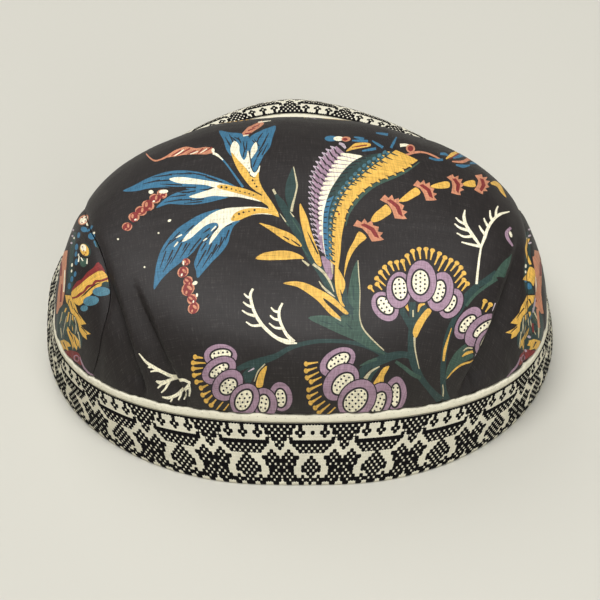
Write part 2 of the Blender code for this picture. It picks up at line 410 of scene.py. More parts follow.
@dataclass
class Print:
    """Shapes printed on the cotton, in the order they are laid down."""

    patches: list[Patch] = field(default_factory=list)

    def add(self, outline: Array, ink: Ink) -> None:
        """Lay down one shape."""
        self.patches.append(Patch(np.asarray(outline, float), ink))

    def oval(self, centre: tuple[float, float], radii: tuple[float, float], turn: float, ink: Ink,
             count: int = 22) -> None:
        """Lay down an ellipse turned by an angle in degrees."""
        t = np.linspace(0.0, 2.0 * np.pi, count, endpoint=False)
        c, s = np.cos(np.radians(turn)), np.sin(np.radians(turn))
        x, y = radii[0] * np.cos(t), radii[1] * np.sin(t)
        self.add(np.stack([centre[0] + c * x - s * y, centre[1] + s * x + c * y], axis=-1), ink)

    def ribbon(self, points: Array, widths: tuple[float, ...], ink: Ink, steps: int = 6) -> None:
        """Lay down a stroke along a smooth line, as wide as given from its start to its end."""
        line = smooth_line(np.asarray(points, float), steps)
        run = unit(np.gradient(line, axis=0))
        side = np.stack([-run[:, 1], run[:, 0]], axis=-1)
        place = np.linspace(0.0, 1.0, len(line))
        half = np.interp(place, np.linspace(0.0, 1.0, len(widths)), widths)[:, None] / 2.0
        half = np.maximum(half, 0.05)
        self.add(np.vstack([line + side * half, (line - side * half)[::-1]]), ink)


def even_line(points: Array, count: int) -> Array:
    """Points at equal steps along a smooth line."""
    line = smooth_line(np.asarray(points, float), 12)
    run = np.concatenate([[0.0], np.cumsum(np.linalg.norm(np.diff(line, axis=0), axis=1))])
    place = np.linspace(0.0, run[-1], count)
    return np.stack([np.interp(place, run, line[:, k]) for k in (0, 1)], axis=-1)


@dataclass(frozen=True)
class Lobe:
    """A dotted oval petal: centre, half length and half width, turn, and its pale heart."""

    centre: tuple[float, float]
    half: tuple[float, float]
    turn: float
    heart: tuple[float, float]
    heart_half: tuple[float, float]
    heart_turn: float


@dataclass
class Branches(Print):
    """Flowering branches in the manner of old printed cottons, drawn in places of the picture."""

    def blob(self, points: Array, ink: Ink, steps: int = 3) -> None:
        """Lay down a shape with a smooth outline through points."""
        self.add(smooth_line(np.asarray(points, float), steps, closed=True), ink)

    def blobs(self, ink: Ink, outlines: list[Array]) -> None:
        """Lay down smooth shapes of one ink."""
        for outline in outlines:
            self.blob(outline, ink)

    def spikes(self, points: Array, ink: Ink) -> None:
        """Lay down a shape with straight edges and sharp points."""
        self.add(np.array(points, float), ink)

    def strokes(self, ends: Array, widths: tuple[float, float], ink: Ink) -> None:
        """Lay down short straight strokes, each from x, y to x, y."""
        for x0, y0, x1, y1 in ends:
            self.ribbon([(x0, y0), ((x0 + x1) / 2.0, (y0 + y1) / 2.0), (x1, y1)],
                        (widths[0], max(widths), widths[1]), ink, 2)

    def veins(self, ends: Array, widths: tuple[float, float] = (0.5, 1.2)) -> None:
        """Lay down thin strokes of the bare ground."""
        self.strokes(ends, widths, Ink.GROUND)

    def dots(self, centres: Array, radius: float, ink: Ink) -> None:
        """Lay down round dots."""
        for centre in centres:
            self.oval(centre, (radius, radius), 0.0, ink, 8)

    def top_leaf(self) -> None:
        """The split leaf that points up, with its coral catkin."""
        self.blobs(Ink.BLUE, [
            [(219, 131), (230, 132.5), (241, 133.5), (249, 137), (249.5, 146), (247, 158), (241, 161), (235, 157),
             (231, 156), (226, 149), (223.5, 140)],
            [(276, 126), (268, 128), (260, 131.5), (250, 137), (248.5, 146), (251, 156), (252, 167), (255, 172),
             (259, 165), (264, 155), (270, 147), (272.5, 138)]])
        self.veins([(227, 141, 231, 147), (231, 137, 236, 141), (238, 137, 241, 143), (243, 141, 245, 152),
                    (247, 141, 246, 150), (252, 140, 255, 143)], (0.6, 1.2))
        self.veins([(229, 134, 235, 146), (234, 137, 240, 140), (254, 139, 259, 146), (260, 136, 256, 144),
                    (268, 143, 262, 155), (257, 157, 253, 167), (245, 148, 243, 157), (225, 137, 230, 145)])
        self.veins([(269, 133, 262, 146), (266, 140, 259, 151), (263, 148, 257, 157), (263, 133, 258, 139),
                    (252, 150, 250, 157)], (0.6, 1.3))
        self.blobs(Ink.CREAM, [
            [(234.5, 141), (231, 146), (231, 153), (238, 160), (246, 168), (252, 176), (250.5, 167), (250, 160),
             (248, 150.5), (246.5, 156), (244, 160), (241, 156), (239.5, 151), (239, 145)],
            [(256, 142), (252, 147), (250.5, 153), (251, 158.5), (254, 155), (257.5, 149)],
            [(247, 160), (250, 171), (254, 177), (259, 172), (260, 165), (257.5, 170), (254.5, 172.5), (252, 170)]])
        self.blob([
            (231, 152), (239, 161), (245, 167), (251, 176), (255, 177), (258.5, 171.5), (259, 179), (262, 187),
            (267, 195), (273, 204), (279, 216), (271, 213), (266, 203), (258, 193), (250, 186), (243, 177),
            (236, 166)], Ink.YELLOW)
        self.dots([(249, 168), (249.5, 172), (250.3, 175.6), (254.5, 183.4)], 0.75, Ink.GROUND)
        self.dots([(252.6, 180), (256.6, 186.3)], 1.1, Ink.GROUND)
        self.ribbon([(243, 135), (250, 130), (257, 126), (263, 122)], (3.5, 7, 6, 4), Ink.CORAL)
        self.strokes([(245, 134, 252, 133), (248, 131, 256, 128), (252, 128, 260, 124)], (1.2, 0.5), Ink.RED)
        self.strokes([(243, 136, 249, 135), (258, 122, 271, 120.5)], (1, 0.5), Ink.CREAM)
        self.ribbon([(214, 153), (221, 158), (228, 166), (236, 177), (243, 187)], (2, 1.8, 1.6, 2, 2.4), Ink.BLUE)
        self.ribbon([(213, 153), (218, 155.5), (223, 160)], (2.6, 2.2, 1), Ink.CREAM)

    def left_leaf(self) -> None:
        """The split leaf that points to the left."""
        self.blobs(Ink.BLUE, [
            [(123, 191.5), (133, 186), (145, 179.5), (158, 174.5), (170, 171.3), (184, 170.3), (198, 172), (212, 176),
             (224, 180), (232, 184), (238, 188), (226, 186), (212, 187), (205, 190), (190, 189.5), (175, 187.5),
             (160, 187.5), (148, 188.5), (136, 191)],
            [(156, 208), (163, 200.5), (172, 194.5), (182, 191), (194, 189.3), (207, 190), (210, 195), (223, 196),
             (228, 197.5), (219, 200), (207, 203), (194, 204.8), (180, 204.6), (168, 204)]])
        self.veins([
            (152, 177.5, 172, 174.5), (169, 174, 192, 173.6), (186, 172, 207, 176), (198, 173.5, 217, 180),
            (143, 184, 160, 180), (165, 186.4, 186, 188.3), (205, 177, 222, 182), (164, 202.4, 182, 199.4),
            (184, 203.6, 202, 201.8), (182, 193, 196, 191)])
        self.veins([
            (152, 181.5, 170, 180), (160, 184, 182, 185), (176, 187, 196, 187.5), (178, 192, 190, 192.5),
            (170, 197, 186, 195), (176, 200.5, 192, 199.5), (190, 201, 204, 199), (200, 190, 212, 189.4)], (0.5, 1.3))
        self.blobs(Ink.CREAM, [
            [(169, 179), (178, 177), (190, 178), (203, 180), (216, 182), (228, 184.5), (238, 188), (228, 190),
             (214, 187.5), (205, 185), (190, 184), (178, 183)],
            [(189, 197), (198, 193.5), (208, 190.3), (217, 187.5), (228, 188.5), (240, 193), (252, 197), (263, 202),
             (250, 199.4), (238, 197), (225, 196.5), (213, 196), (200, 198.4)]])
        self.blob([
            (217, 185.5), (226, 184.5), (236, 186.5), (246, 189), (254, 192), (262, 196), (269, 201), (277, 213),
            (268, 206.5), (261, 201.5), (252, 197.5), (240, 194), (228, 190.8), (219, 188.5)], Ink.YELLOW)
        self.veins([(249, 188, 262, 195.3)], (0.6, 1.4))
        self.dots([(221.5, 187), (226.5, 187.3)], 1.15, Ink.GROUND)
        self.dots([(231.5, 188.8), (236, 190), (240, 191.2), (245, 192.5), (249, 193.8), (253.5, 195)], 0.8,
                  Ink.GROUND)

    def low_leaf(self) -> None:
        """The split leaf that points down to the left."""
        self.blobs(Ink.BLUE, [
            [(154, 289.5), (154.5, 277), (157, 262), (161, 250), (168, 239), (177, 229), (187, 222), (198, 215.5),
             (208, 211.7), (222, 209.5), (218, 225), (213, 231), (206, 239), (198, 247), (190, 255), (180, 263),
             (170, 271), (161, 280)],
            [(197.5, 278), (204, 271), (212, 262), (221, 253), (228, 243), (230, 235), (234, 226), (240, 220.5),
             (228, 223), (220, 228), (212, 233), (206, 239), (200, 247), (196.5, 256), (194, 264), (196, 271)]])
        self.veins([
            (160, 268, 166, 251), (163, 272, 172, 257), (170, 264, 179, 249), (180, 258, 190, 243),
            (188, 255, 199, 240), (163, 252, 171, 240), (171, 241, 180, 232), (185, 233, 194, 225),
            (196, 268, 204, 254), (202, 268, 212, 252), (209, 260, 219, 245), (217, 252, 225, 237),
            (204, 243, 214, 233), (222, 228, 232, 224)])
        self.veins([
            (166.5, 263, 173, 250), (174, 257, 182, 243), (182.5, 251, 187, 243), (190, 251, 201, 238),
            (195, 250, 209, 234), (178, 243, 186, 238), (203, 233, 210, 228), (168, 245, 179, 236),
            (199, 262, 206, 250), (206, 256, 212, 243), (212, 254, 217, 244), (219, 248, 222, 237),
            (225, 241, 229, 230), (201, 251, 206, 243)], (0.5, 1.5))
        self.blob([
            (182, 241.5), (190, 231), (200, 222), (210, 214.5), (222, 209), (238, 207), (256, 207), (268, 209),
            (278, 215.5), (262, 214), (250, 215.5), (240, 219.5), (230, 223.5), (222, 229), (215, 238), (209, 244.5),
            (212, 235), (218.5, 227), (216, 222.5), (207, 224.5), (198, 231.5), (190, 238.5)], Ink.CREAM)
        self.strokes([(176, 238, 182, 234.5), (211, 231, 216, 226), (174, 247, 178, 242), (203, 241, 207, 238)],
                     (0.6, 1.5), Ink.CREAM)
        self.blob([(231, 220.5), (233.5, 214.5), (240, 210.3), (250, 208), (262, 208.3), (272, 210.5), (279.5, 217.5),
                   (268, 213.8), (256, 213.8), (246, 217.3), (238, 220.8)], Ink.YELLOW)
        self.dots([(239, 214), (243.5, 212.3), (254.6, 210)], 1.15, Ink.GROUND)
        self.dots([(234, 217), (249, 211.2)], 0.8, Ink.GROUND)

    def catkin(self, centres: Array, sizes: Array, body: Ink) -> None:
        """A row of beads with pale rims and pale hearts."""
        line = np.asarray(centres, float)
        run = np.gradient(line, axis=0)
        turns = np.degrees(np.arctan2(run[:, 1], run[:, 0]))
        beads = list(zip(centres, sizes, turns))
        for centre, size, turn in beads:
            self.oval(centre, (size * 1.2, size * 0.98), turn + 55, Ink.CORAL, 11)
        for k, (centre, size, turn) in enumerate(beads):
            self.oval(centre, (size * 1.12, size * 0.8), turn + (20 if k % 2 else -35), body, 9)
        for k, ((x, y), size, turn) in enumerate(beads):
            side = 0.25 if k % 2 else -0.3
            self.oval((x + side * size, y - 0.2 * size), (size * 0.5, size * 0.26), turn - 40, Ink.CORAL, 9)
            self.oval((x - side * size, y + 0.55 * size), (size * 0.3, size * 0.18), turn + 30,
                      Ink.CREAM if k % 3 == 1 else Ink.CORAL, 7)

    def catkins(self) -> None:
        """The hanging catkins and a few stray specks."""
        self.catkin([(162, 194), (155, 198.5), (148, 205.5), (141, 211), (134, 217), (127, 226.5)],
                    (4.4, 4.8, 5.4, 5, 4.8, 4.4), Ink.RED)
        self.oval((151, 192), (2.5, 2), 0, Ink.CREAM, 12)
        self.oval((163.5, 191.5), (4.8, 1.9), -5, Ink.CREAM, 12)
        self.catkin([(186, 262), (183, 272), (188, 281), (188, 289), (192, 299), (193.5, 308)],
                    (3.6, 5.2, 4.4, 6.2, 4.6, 5.4), Ink.RED)
        self.oval((183.4, 263), (0.9, 2.4), 0, Ink.CREAM, 10)
        self.oval((195, 283), (2.8, 1.9), -30, Ink.CREAM, 10)
        self.oval((197, 295), (1.1, 2), 0, Ink.CREAM, 10)
        self.ribbon([(146, 153.5), (150, 158), (155, 160.6), (161, 159.3), (168, 156)], (0.9, 1.4, 1.6, 1.4, 2),
                    Ink.CORAL)
        self.ribbon([(167, 156.5), (176, 153), (186, 150.5), (196, 151), (206, 150.5), (213, 150.5)],
                    (2, 6, 8, 6, 8, 5), Ink.CORAL)
        self.strokes([(171, 156, 181, 150), (177, 155.5, 190, 148), (187, 154, 196, 150), (197, 154, 203, 148),
                      (204, 152, 212, 147)], (0.5, 1.3), Ink.RED)
        self.strokes([(174, 156, 184, 149.5), (190, 154, 198, 151), (200, 153, 207, 148.5)], (0.5, 1.1), Ink.CREAM)
        self.oval((213, 150.5), (1.6, 2.4), 0, Ink.CREAM, 10)
        self.oval((169.5, 220.4), (1.9, 1.2), -20, Ink.CREAM, 8)
        self.dots([(158.5, 233), (118, 239), (144.5, 267)], 1, Ink.CREAM)

    def sprays(self) -> None:
        """The slender leaves below the crest."""
        self.blob([(293.5, 167), (289, 175), (286, 184), (285, 194), (287.5, 205), (291, 213), (294.5, 204),
                   (296.5, 192), (297, 182), (295.5, 172)], Ink.TEAL)
        self.ribbon([(293.5, 167), (295.8, 178), (297, 186), (295, 196), (292.8, 204), (291.4, 211.5)],
                    (0.8, 1.6, 1.8, 1.6, 2.4, 2.6), Ink.EDGE)
        self.ribbon([(275, 193), (281, 203), (288, 215), (296, 228), (304, 242), (311, 256), (320, 270), (330, 286),
                     (341, 301), (350, 313)], (2, 7.5, 8, 10, 9, 9, 8, 9, 10, 12), Ink.TEAL)
        self.strokes([(273, 189, 275.6, 194)], (2.4, 2.4), Ink.EDGE)
        self.strokes([(281, 216, 289, 226), (289, 211, 293, 216), (292, 219, 301, 233), (300, 244, 308, 256),
                      (326, 280, 333, 292)], (0.6, 1.2), Ink.GREEN)
        self.strokes([(280, 214, 286, 222), (290, 212, 294, 217)], (0.5, 1.1), Ink.EDGE)
        self.blob([(259, 223), (270, 225.5), (280, 229), (290, 233), (297, 238.5), (302, 246), (296, 246), (289, 243),
                   (281, 238), (272, 231.5), (265, 227)], Ink.YELLOW)
        self.veins([(291, 239.5, 300, 246), (283, 236, 289, 239.5)], (0.6, 1.5))
        self.blob([(255.5, 258.5), (263, 253.3), (275, 251), (288, 251), (298, 254), (304, 258.5), (296, 259),
                   (280, 260), (266, 260)], Ink.YELLOW)
        self.strokes([(302, 260, 309, 265.5)], (1, 2.2), Ink.EDGE)
        self.blob([
            (300, 203), (303.5, 209), (307.5, 218), (310, 228), (313, 237), (316, 245), (319.5, 255), (321.5, 266),
            (317, 264.5), (312, 256), (307, 245), (303.5, 233), (300.5, 221), (299.5, 211)], Ink.YELLOW)
        self.veins([(307.5, 232, 318, 254)], (0.6, 1.6))
        self.ribbon([(313, 264), (322, 271), (329, 280), (334, 292)], (2.6, 2.6, 2.6, 0.8), Ink.EDGE)
        self.ribbon([(319, 281), (323, 287), (329, 292.5), (335, 297)], (0.8, 2, 2.2, 0.8), Ink.EDGE)
        self.blob([
            (283, 283.3), (295, 281), (306, 283), (316, 287.7), (326, 293), (335, 299), (342, 306), (348.5, 313),
            (345, 314), (337, 307.5), (329, 301.5), (323, 298), (326, 303), (334, 311), (341, 318.5), (334, 317),
            (327, 311), (319, 302), (309, 294), (297, 286.7)], Ink.YELLOW)
        self.ribbon([(335, 317.5), (341, 320.5)], (0.8, 1.6), Ink.EDGE)
        self.blob([(335.5, 265), (340, 271.5), (344.8, 281), (344.8, 288), (342, 295), (342, 301), (345, 306.5),
                   (341, 304.5), (338, 298), (336, 291), (335, 282), (334.8, 274)], Ink.YELLOW)
        self.veins([(340.3, 290, 342.2, 297)], (0.6, 1.2))

    def crest(self) -> None:
        """The feathered crest: fringe, pale quills, scales and a toothed yellow blade side by side."""
        count = 67
        fringe = even_line([(322, 252), (317, 242), (314, 229), (312, 216), (311, 203), (311, 190), (312, 178),
                            (316, 167), (322, 157), (329, 150), (336, 146)], count)
        quill = even_line([(325, 256), (322, 243), (320.5, 230), (319.5, 216), (319.5, 204), (321, 193), (325, 182),
                           (330, 171), (336, 161), (343, 153)], count)
        edge = even_line([(326, 258), (324, 245), (323, 230), (323.5, 214), (326, 202), (330, 191), (336, 181),
                          (343, 171), (352, 162), (363, 156)], count)
        band = even_line([(329, 260), (328.5, 245), (328, 230), (328.5, 215), (331, 203), (336, 192), (343, 181),
                          (351, 171), (362, 161), (380, 151)], count)
        scale = even_line([(333, 264), (332, 246), (332.5, 232), (334, 217), (338, 205), (343, 195), (351, 185),
                           (362, 175), (374, 165), (394, 151)], count)
        blade = even_line([(338.5, 268), (340.5, 252), (341.5, 238), (344, 225), (346.5, 213), (353, 202),
                           (362, 192), (374, 183), (390, 176), (405, 169), (418, 160)], count)
        self.blob([(321.5, 256), (330, 260), (333.5, 266), (331.5, 280), (326, 273), (323, 265)], Ink.MAUVE)
        self.strokes([(331.5, 262, 332.6, 274)], (1.8, 1), Ink.EDGE)
        self.add(np.vstack([fringe + (0.5, 0), quill[::-1] + (1.5, 0)]), Ink.MAUVE)
        for k in range(1, 66, 3):
            root, tip = fringe[k] + (2.5, 1.6), fringe[k] + (-2.6, -1.6)
            self.ribbon([root, (root + tip) / 2, tip], (3.2, 2.6, 0.9), Ink.LILAC, 2)
            gap = fringe[min(k + 1, 66)] + (-0.8, 1.2)
            mid = 0.5 * (fringe[k] + quill[k]) + (0, 2)
            self.ribbon([gap, (gap + mid) / 2, mid], (0.9, 1.6, 1.5), Ink.GROUND, 2)
            a, b = fringe[k] + 0.55 * (quill[k] - fringe[k]), fringe[k] + 0.98 * (quill[k] - fringe[k])
            if k > 20:
                self.ribbon([a + (0, 0.6), (a + b) / 2 + (0, 1), b + (0, 1.5)], (0.6, 1.9, 0.6), Ink.GROUND, 2)
        self.add(np.vstack([0.45 * quill + 0.55 * edge, edge[::-1] + (0.3, 0.3)]), Ink.CREAM)
        for k in range(14, 67, 3):
            a, b = quill[k] + (-1.2, -0.4), edge[k] + (-0.5, 0.8)
            self.ribbon([a, 0.6 * a + 0.4 * b, b], (1.8, 4, 4.2), Ink.CREAM, 3)
            self.ribbon([a + (1, 2.1), 0.5 * (a + b) + (0.5, 2.2), b + (-1.5, 2.1)], (0.7, 0.7, 0.3), Ink.MAUVE, 2)
        self.add(np.vstack([edge, scale[::-1]]), Ink.TEAL)
        self.add(np.vstack([edge[:34], band[:34][::-1]]), Ink.BLUE)
        for k in range(2, 66, 3):
            self.veins([(*(edge[k] + (0.4, 0.2)), *(0.5 * edge[k] + 0.5 * band[k] + (1.2, 1.2)))], (1.2, 0.8))
        for k in range(2, 66, 3):
            mid = 0.55 * band[k] + 0.45 * scale[k]
            self.oval(tuple(mid), (2.3, 1.7), -40 if k > 25 else 90, Ink.SCALE, 10)
        for k in range(34, 66, 3):
            mid = 0.2 * band[k] + 0.8 * scale[k]
            self.oval(tuple(mid), (1.7, 1.3), -40, Ink.SCALE, 8)
        self.ribbon(blade[20:] + (1.6, 2), (1, 3.4, 3.4, 3, 1), Ink.GREEN, 1)
        self.add(np.vstack([scale, (396, 150), blade[::-1]]), Ink.YELLOW)
        for k in range(1, 66, 3):
            root = 0.7 * scale[k] + 0.3 * blade[k]
            tip = scale[k] + (-3, -2)
            self.ribbon([root, (root + tip) / 2, tip], (4, 2.4, 0.6), Ink.YELLOW, 2)
            mid = 0.5 * (scale[k] + scale[k + 1]) + (0.5, 0.6)
            self.ribbon([mid + (-2, -1.4), mid, 0.72 * mid + 0.28 * blade[k]], (2.2, 1.6, 0.5), Ink.TEAL, 2)
        for k in range(2, 60, 4):
            self.ribbon([scale[k] + (-0.6, 0.5), scale[k] + (2.6, 2.2)], (0.8, 1.2), Ink.GROUND, 2)
        for k in range(22, 66, 4):
            self.ribbon([blade[k] + (-3, -1.5), blade[k] + (1, 1.8)], (4.5, 0.7), Ink.YELLOW, 2)
            self.ribbon([blade[k] + (1.6, -0.8), blade[k] + (-1.2, -1.6)], (1.2, 0.4), Ink.GROUND, 2)
        self.dots([(339, 214)], 1.1, Ink.RED)

    def trumpet(self, centre: tuple[float, float], turn: float, half_length: float, depth: float) -> None:
        """A toothed crescent mouth, seen from the side, facing the given turn."""
        mouth = np.array([(-3.5, -14.8), (3.5, -15), (3.8, -10), (8.6, -9.8), (6.6, -5), (11, -2.8),
                          (7.8, 1), (9.6, 6.2), (5.4, 7.8), (7.4, 12.6), (2.8, 12.2), (2.3, 17.2), (-0.7, 14.8),
                          (-6, 8.5), (-2.2, 1), (-0.7, -6.4)])
        throat = np.array([(1, -9.5), (4.5, -7.5), (5.5, -2), (6, 3), (3.8, 8), (0.8, 13), (-0.5, 8),
                           (2.2, 1.5), (1.8, -4)])
        c, s = np.cos(np.radians(turn)), np.sin(np.radians(turn))
        for shape, ink in ((mouth, Ink.CORAL), (throat, Ink.RED)):
            x, y = shape[:, 0] * depth / 8, shape[:, 1] * half_length / 15.5
            self.add(np.stack([centre[0] + c * x - s * y, centre[1] + s * x + c * y], axis=-1), ink)

    def trumpets(self) -> None:
        """The chain of trumpet mouths and yellow tubes that runs up to the right."""
        self.blobs(Ink.YELLOW, [
            [(344, 278), (345, 265), (348, 252), (354, 240.5), (359, 231.5), (366.5, 237.5), (360, 243.5),
             (354, 250.5), (349, 260.5), (346, 270)],
            [(371, 219.5), (375, 213), (381, 208), (386.5, 204.5), (391.5, 212), (385, 217.5), (379, 221),
             (373, 222.3)],
            [(398.5, 201), (404, 196), (411, 190), (416.5, 187.5), (420.5, 193), (414, 197.5), (407, 201.3),
             (401, 202)],
            [(430.5, 186), (438, 183), (446, 181.5), (449.5, 183), (449, 187.5), (441, 188.5), (434, 188)],
            [(462, 184.5), (467, 181), (474, 180), (475.5, 183.5), (475, 187), (467, 186.6)],
            [(490.5, 182.5), (495, 181), (500, 184), (503.5, 190.5), (506.5, 197.5), (501, 192.5), (497, 186.6),
             (492, 184.6)]])
        self.trumpet((368, 231.5), -56, 16, 8.2)
        self.trumpet((393, 208), -45, 15.8, 8)
        self.trumpet((424.5, 191.5), -47, 13.2, 7.4)
        self.trumpet((454, 185), -25, 10.6, 7.6)
        self.trumpet((479.5, 184), -6, 9.8, 8)

    def sprig(self, stem: Array, widths: tuple[float, ...], teeth: Array) -> None:
        """A bare coral-like sprig: a stem with short bent side teeth."""
        self.ribbon(stem, widths, Ink.CREAM)
        for tooth in teeth:
            self.ribbon(tooth, (3, 2.2, 1.3), Ink.CREAM, 4)

    def sprigs(self) -> None:
        """The four pale sprigs."""
        self.sprig([
            (476.5, 284), (478.5, 264), (481, 248), (484.5, 238), (488, 228), (493, 220), (500, 214.3),
            (509.5, 211.5)], (2.6, 2.2, 2, 3.2, 3, 3, 2.8, 1), [[(485.5, 235), (481.5, 230), (479, 225.5)],
            [(489, 227.5), (486, 223), (483.8, 218)], [(492.5, 220.5), (490.4, 216), (489.8, 210.5)],
            [(496, 217), (496, 211), (498, 206)]])
        self.sprig([
            (480.5, 246), (475.5, 239), (470.5, 232), (466, 225), (464, 217), (465, 209.5)],
            (2, 3.2, 3.2, 3.2, 3.2, 1.2), [[(465, 224), (459.5, 221.5), (455.6, 217.5)],
            [(469, 230.5), (460, 228), (454.5, 223.8)], [(473, 236), (464, 236.4), (456.8, 232.8)],
            [(480.5, 246.5), (469, 244), (461.5, 242)]])
        self.sprig([
            (297, 343.3), (287, 341.8), (277, 338), (268, 331), (260, 322), (254, 311), (251, 300), (250.5, 294),
            (253, 288.5)], (1.2, 5, 3.4, 3.4, 3.4, 3, 3, 2.8, 2.2), [[(251, 298), (247, 296.5), (244, 293.5)],
            [(252, 307), (247, 305), (243, 301.8)], [(255, 316), (247.5, 313.8), (242, 310.3)],
            [(261, 325), (252.5, 325.6), (246, 321.8)]])
        self.sprig([
            (294, 342), (287, 335), (282.5, 327), (279.3, 318), (279.3, 310), (282.5, 303)],
            (4, 3.2, 2.8, 2.8, 2.8, 2), [[(279, 312), (274.5, 311), (271, 307.3)],
            [(279.5, 320), (274, 318.8), (270, 315.3)], [(282, 328.5), (275, 327.6), (269, 323.2)]])
        self.sprig([
            (138, 354), (144, 362), (152, 369), (160, 375), (168, 380.3), (175, 381.5), (183, 379.7), (190, 382.8)],
            (0.8, 2, 3, 2.6, 3.2, 4.2, 3, 2.4), [[(152, 368), (149, 368.5), (147, 368)],
            [(158, 373), (154, 372.5), (149.5, 372.8)]])
        self.sprig([
            (176, 382.5), (167, 384.3), (161, 385.4), (155, 382.4)], (3, 3.2, 4.5, 1.4),
            [[(162, 385), (159, 387.5), (157, 389.5)], [(167, 385), (164, 391), (160.5, 394)]])
        self.sprig([
            (190, 382.5), (186.5, 388), (182, 393), (176, 397.7), (168, 399.3), (161.5, 398)],
            (2, 3.4, 3.4, 3, 2.6, 1.2), [[(188.5, 385), (189.8, 391), (189, 397)],
            [(184.5, 390.5), (185.3, 396), (183, 402)], [(179, 396), (179, 399), (177.4, 402)],
            [(171, 399), (171, 401), (170, 403)]])

    def lobes(self, lobes: tuple[Lobe, ...], pitch: float = 4.4, dot: float = 1.08) -> None:
        """Dotted oval petals, each edged in black and lying over the one before."""
        room = pitch + 0.2
        for lobe in lobes:
            long, short = lobe.half
            self.oval(lobe.centre, (long + 1.2, short + 1.2), lobe.turn, Ink.OUTLINE, 30)
            self.oval(lobe.centre, (long, short), lobe.turn, Ink.MAUVE, 30)
            a, b = lobe.heart_half
            self.oval(lobe.heart, (a + 1.9, b + 1.9), lobe.heart_turn, Ink.OUTLINE, 24)
            self.oval(lobe.heart, (a, b), lobe.heart_turn, Ink.CREAM, 24)
            c, s = np.cos(np.radians(lobe.heart_turn)), np.sin(np.radians(lobe.heart_turn))
            rows = max(1, int(round(2 * b / room)))
            for row in range(rows):
                y = (row - (rows - 1) / 2) * pitch
                reach = a * np.sqrt(max(0, 1 - (y / b) ** 2)) - 1.6
                columns = max(1, int(2 * reach / room) + 1)
                for column in range(columns):
                    x = (column - (columns - 1) / 2) * pitch
                    self.dots([(lobe.heart[0] + c * x - s * y, lobe.heart[1] + s * x + c * y)], dot, Ink.OUTLINE)

    def stamens(self, knobs: Array, roots: Array) -> None:
        """Yellow stalks with round knobs."""
        for (kx, ky), (rx, ry) in zip(knobs, roots):
            self.ribbon([(kx, ky), ((kx + rx) / 2, (ky + ry) / 2), (rx, ry)], (3.4, 1.9, 1.2), Ink.YELLOW, 2)
            self.oval((kx, ky), (2.6, 2.1), np.degrees(np.arctan2(ry - ky, rx - kx)) + 90, Ink.YELLOW, 12)

    def umbels(self) -> None:
        """The four heads of dotted petals with their stamens."""
        self.stamens([
            (370, 287), (377, 284), (376.5, 278), (380.5, 272), (384.5, 267), (390, 263), (396.5, 262), (402.5, 261),
            (407, 255.5), (412.5, 251), (419, 249), (426, 249), (432.5, 250.5), (439.5, 253.5), (445, 257.5),
            (451, 260), (457, 263), (461, 267.5), (464, 273), (464, 280), (467.5, 283.5)], [(374, 292), (382, 290),
            (385.5, 286), (386.5, 280), (389.5, 275), (394, 271), (399, 270), (405.5, 271), (410.5, 265),
            (415, 260.5), (420.5, 259), (426.5, 259), (430.5, 260), (434.5, 265), (438, 271), (444.5, 271),
            (450.5, 271), (454, 276.5), (455, 283), (457.5, 288), (461.5, 291)])
        self.stamens([
            (306, 364), (306, 371), (307, 378), (311, 382), (308.5, 390), (308.5, 397), (310.5, 403), (315, 408),
            (319, 413)], [(318, 362.3), (317, 367.5), (319, 372), (321.5, 377), (322, 384), (318, 392), (321.5, 396),
            (325, 401), (330, 404)])
        self.strokes([(323, 418, 335.5, 408)], (1.6, 1.4), Ink.YELLOW)
        self.stamens([
            (195, 357), (193, 363), (193, 369), (194, 375.5), (196.5, 382), (201, 388), (202.5, 395), (206, 401),
            (211, 405.5)], [(204.5, 358), (207, 363), (203.5, 368), (203, 373), (204, 381), (208.5, 384.5),
            (210.5, 391), (214, 394), (217, 399)])
        self.strokes([(216, 411, 224, 401), (223, 412, 229, 404)], (1.4, 1), Ink.YELLOW)
        self.stamens([(485, 301), (490.5, 304.5)], [(482, 309), (485.5, 312)])
        self.strokes([(495.5, 303, 492.5, 311)], (1.2, 0.8), Ink.LILAC)
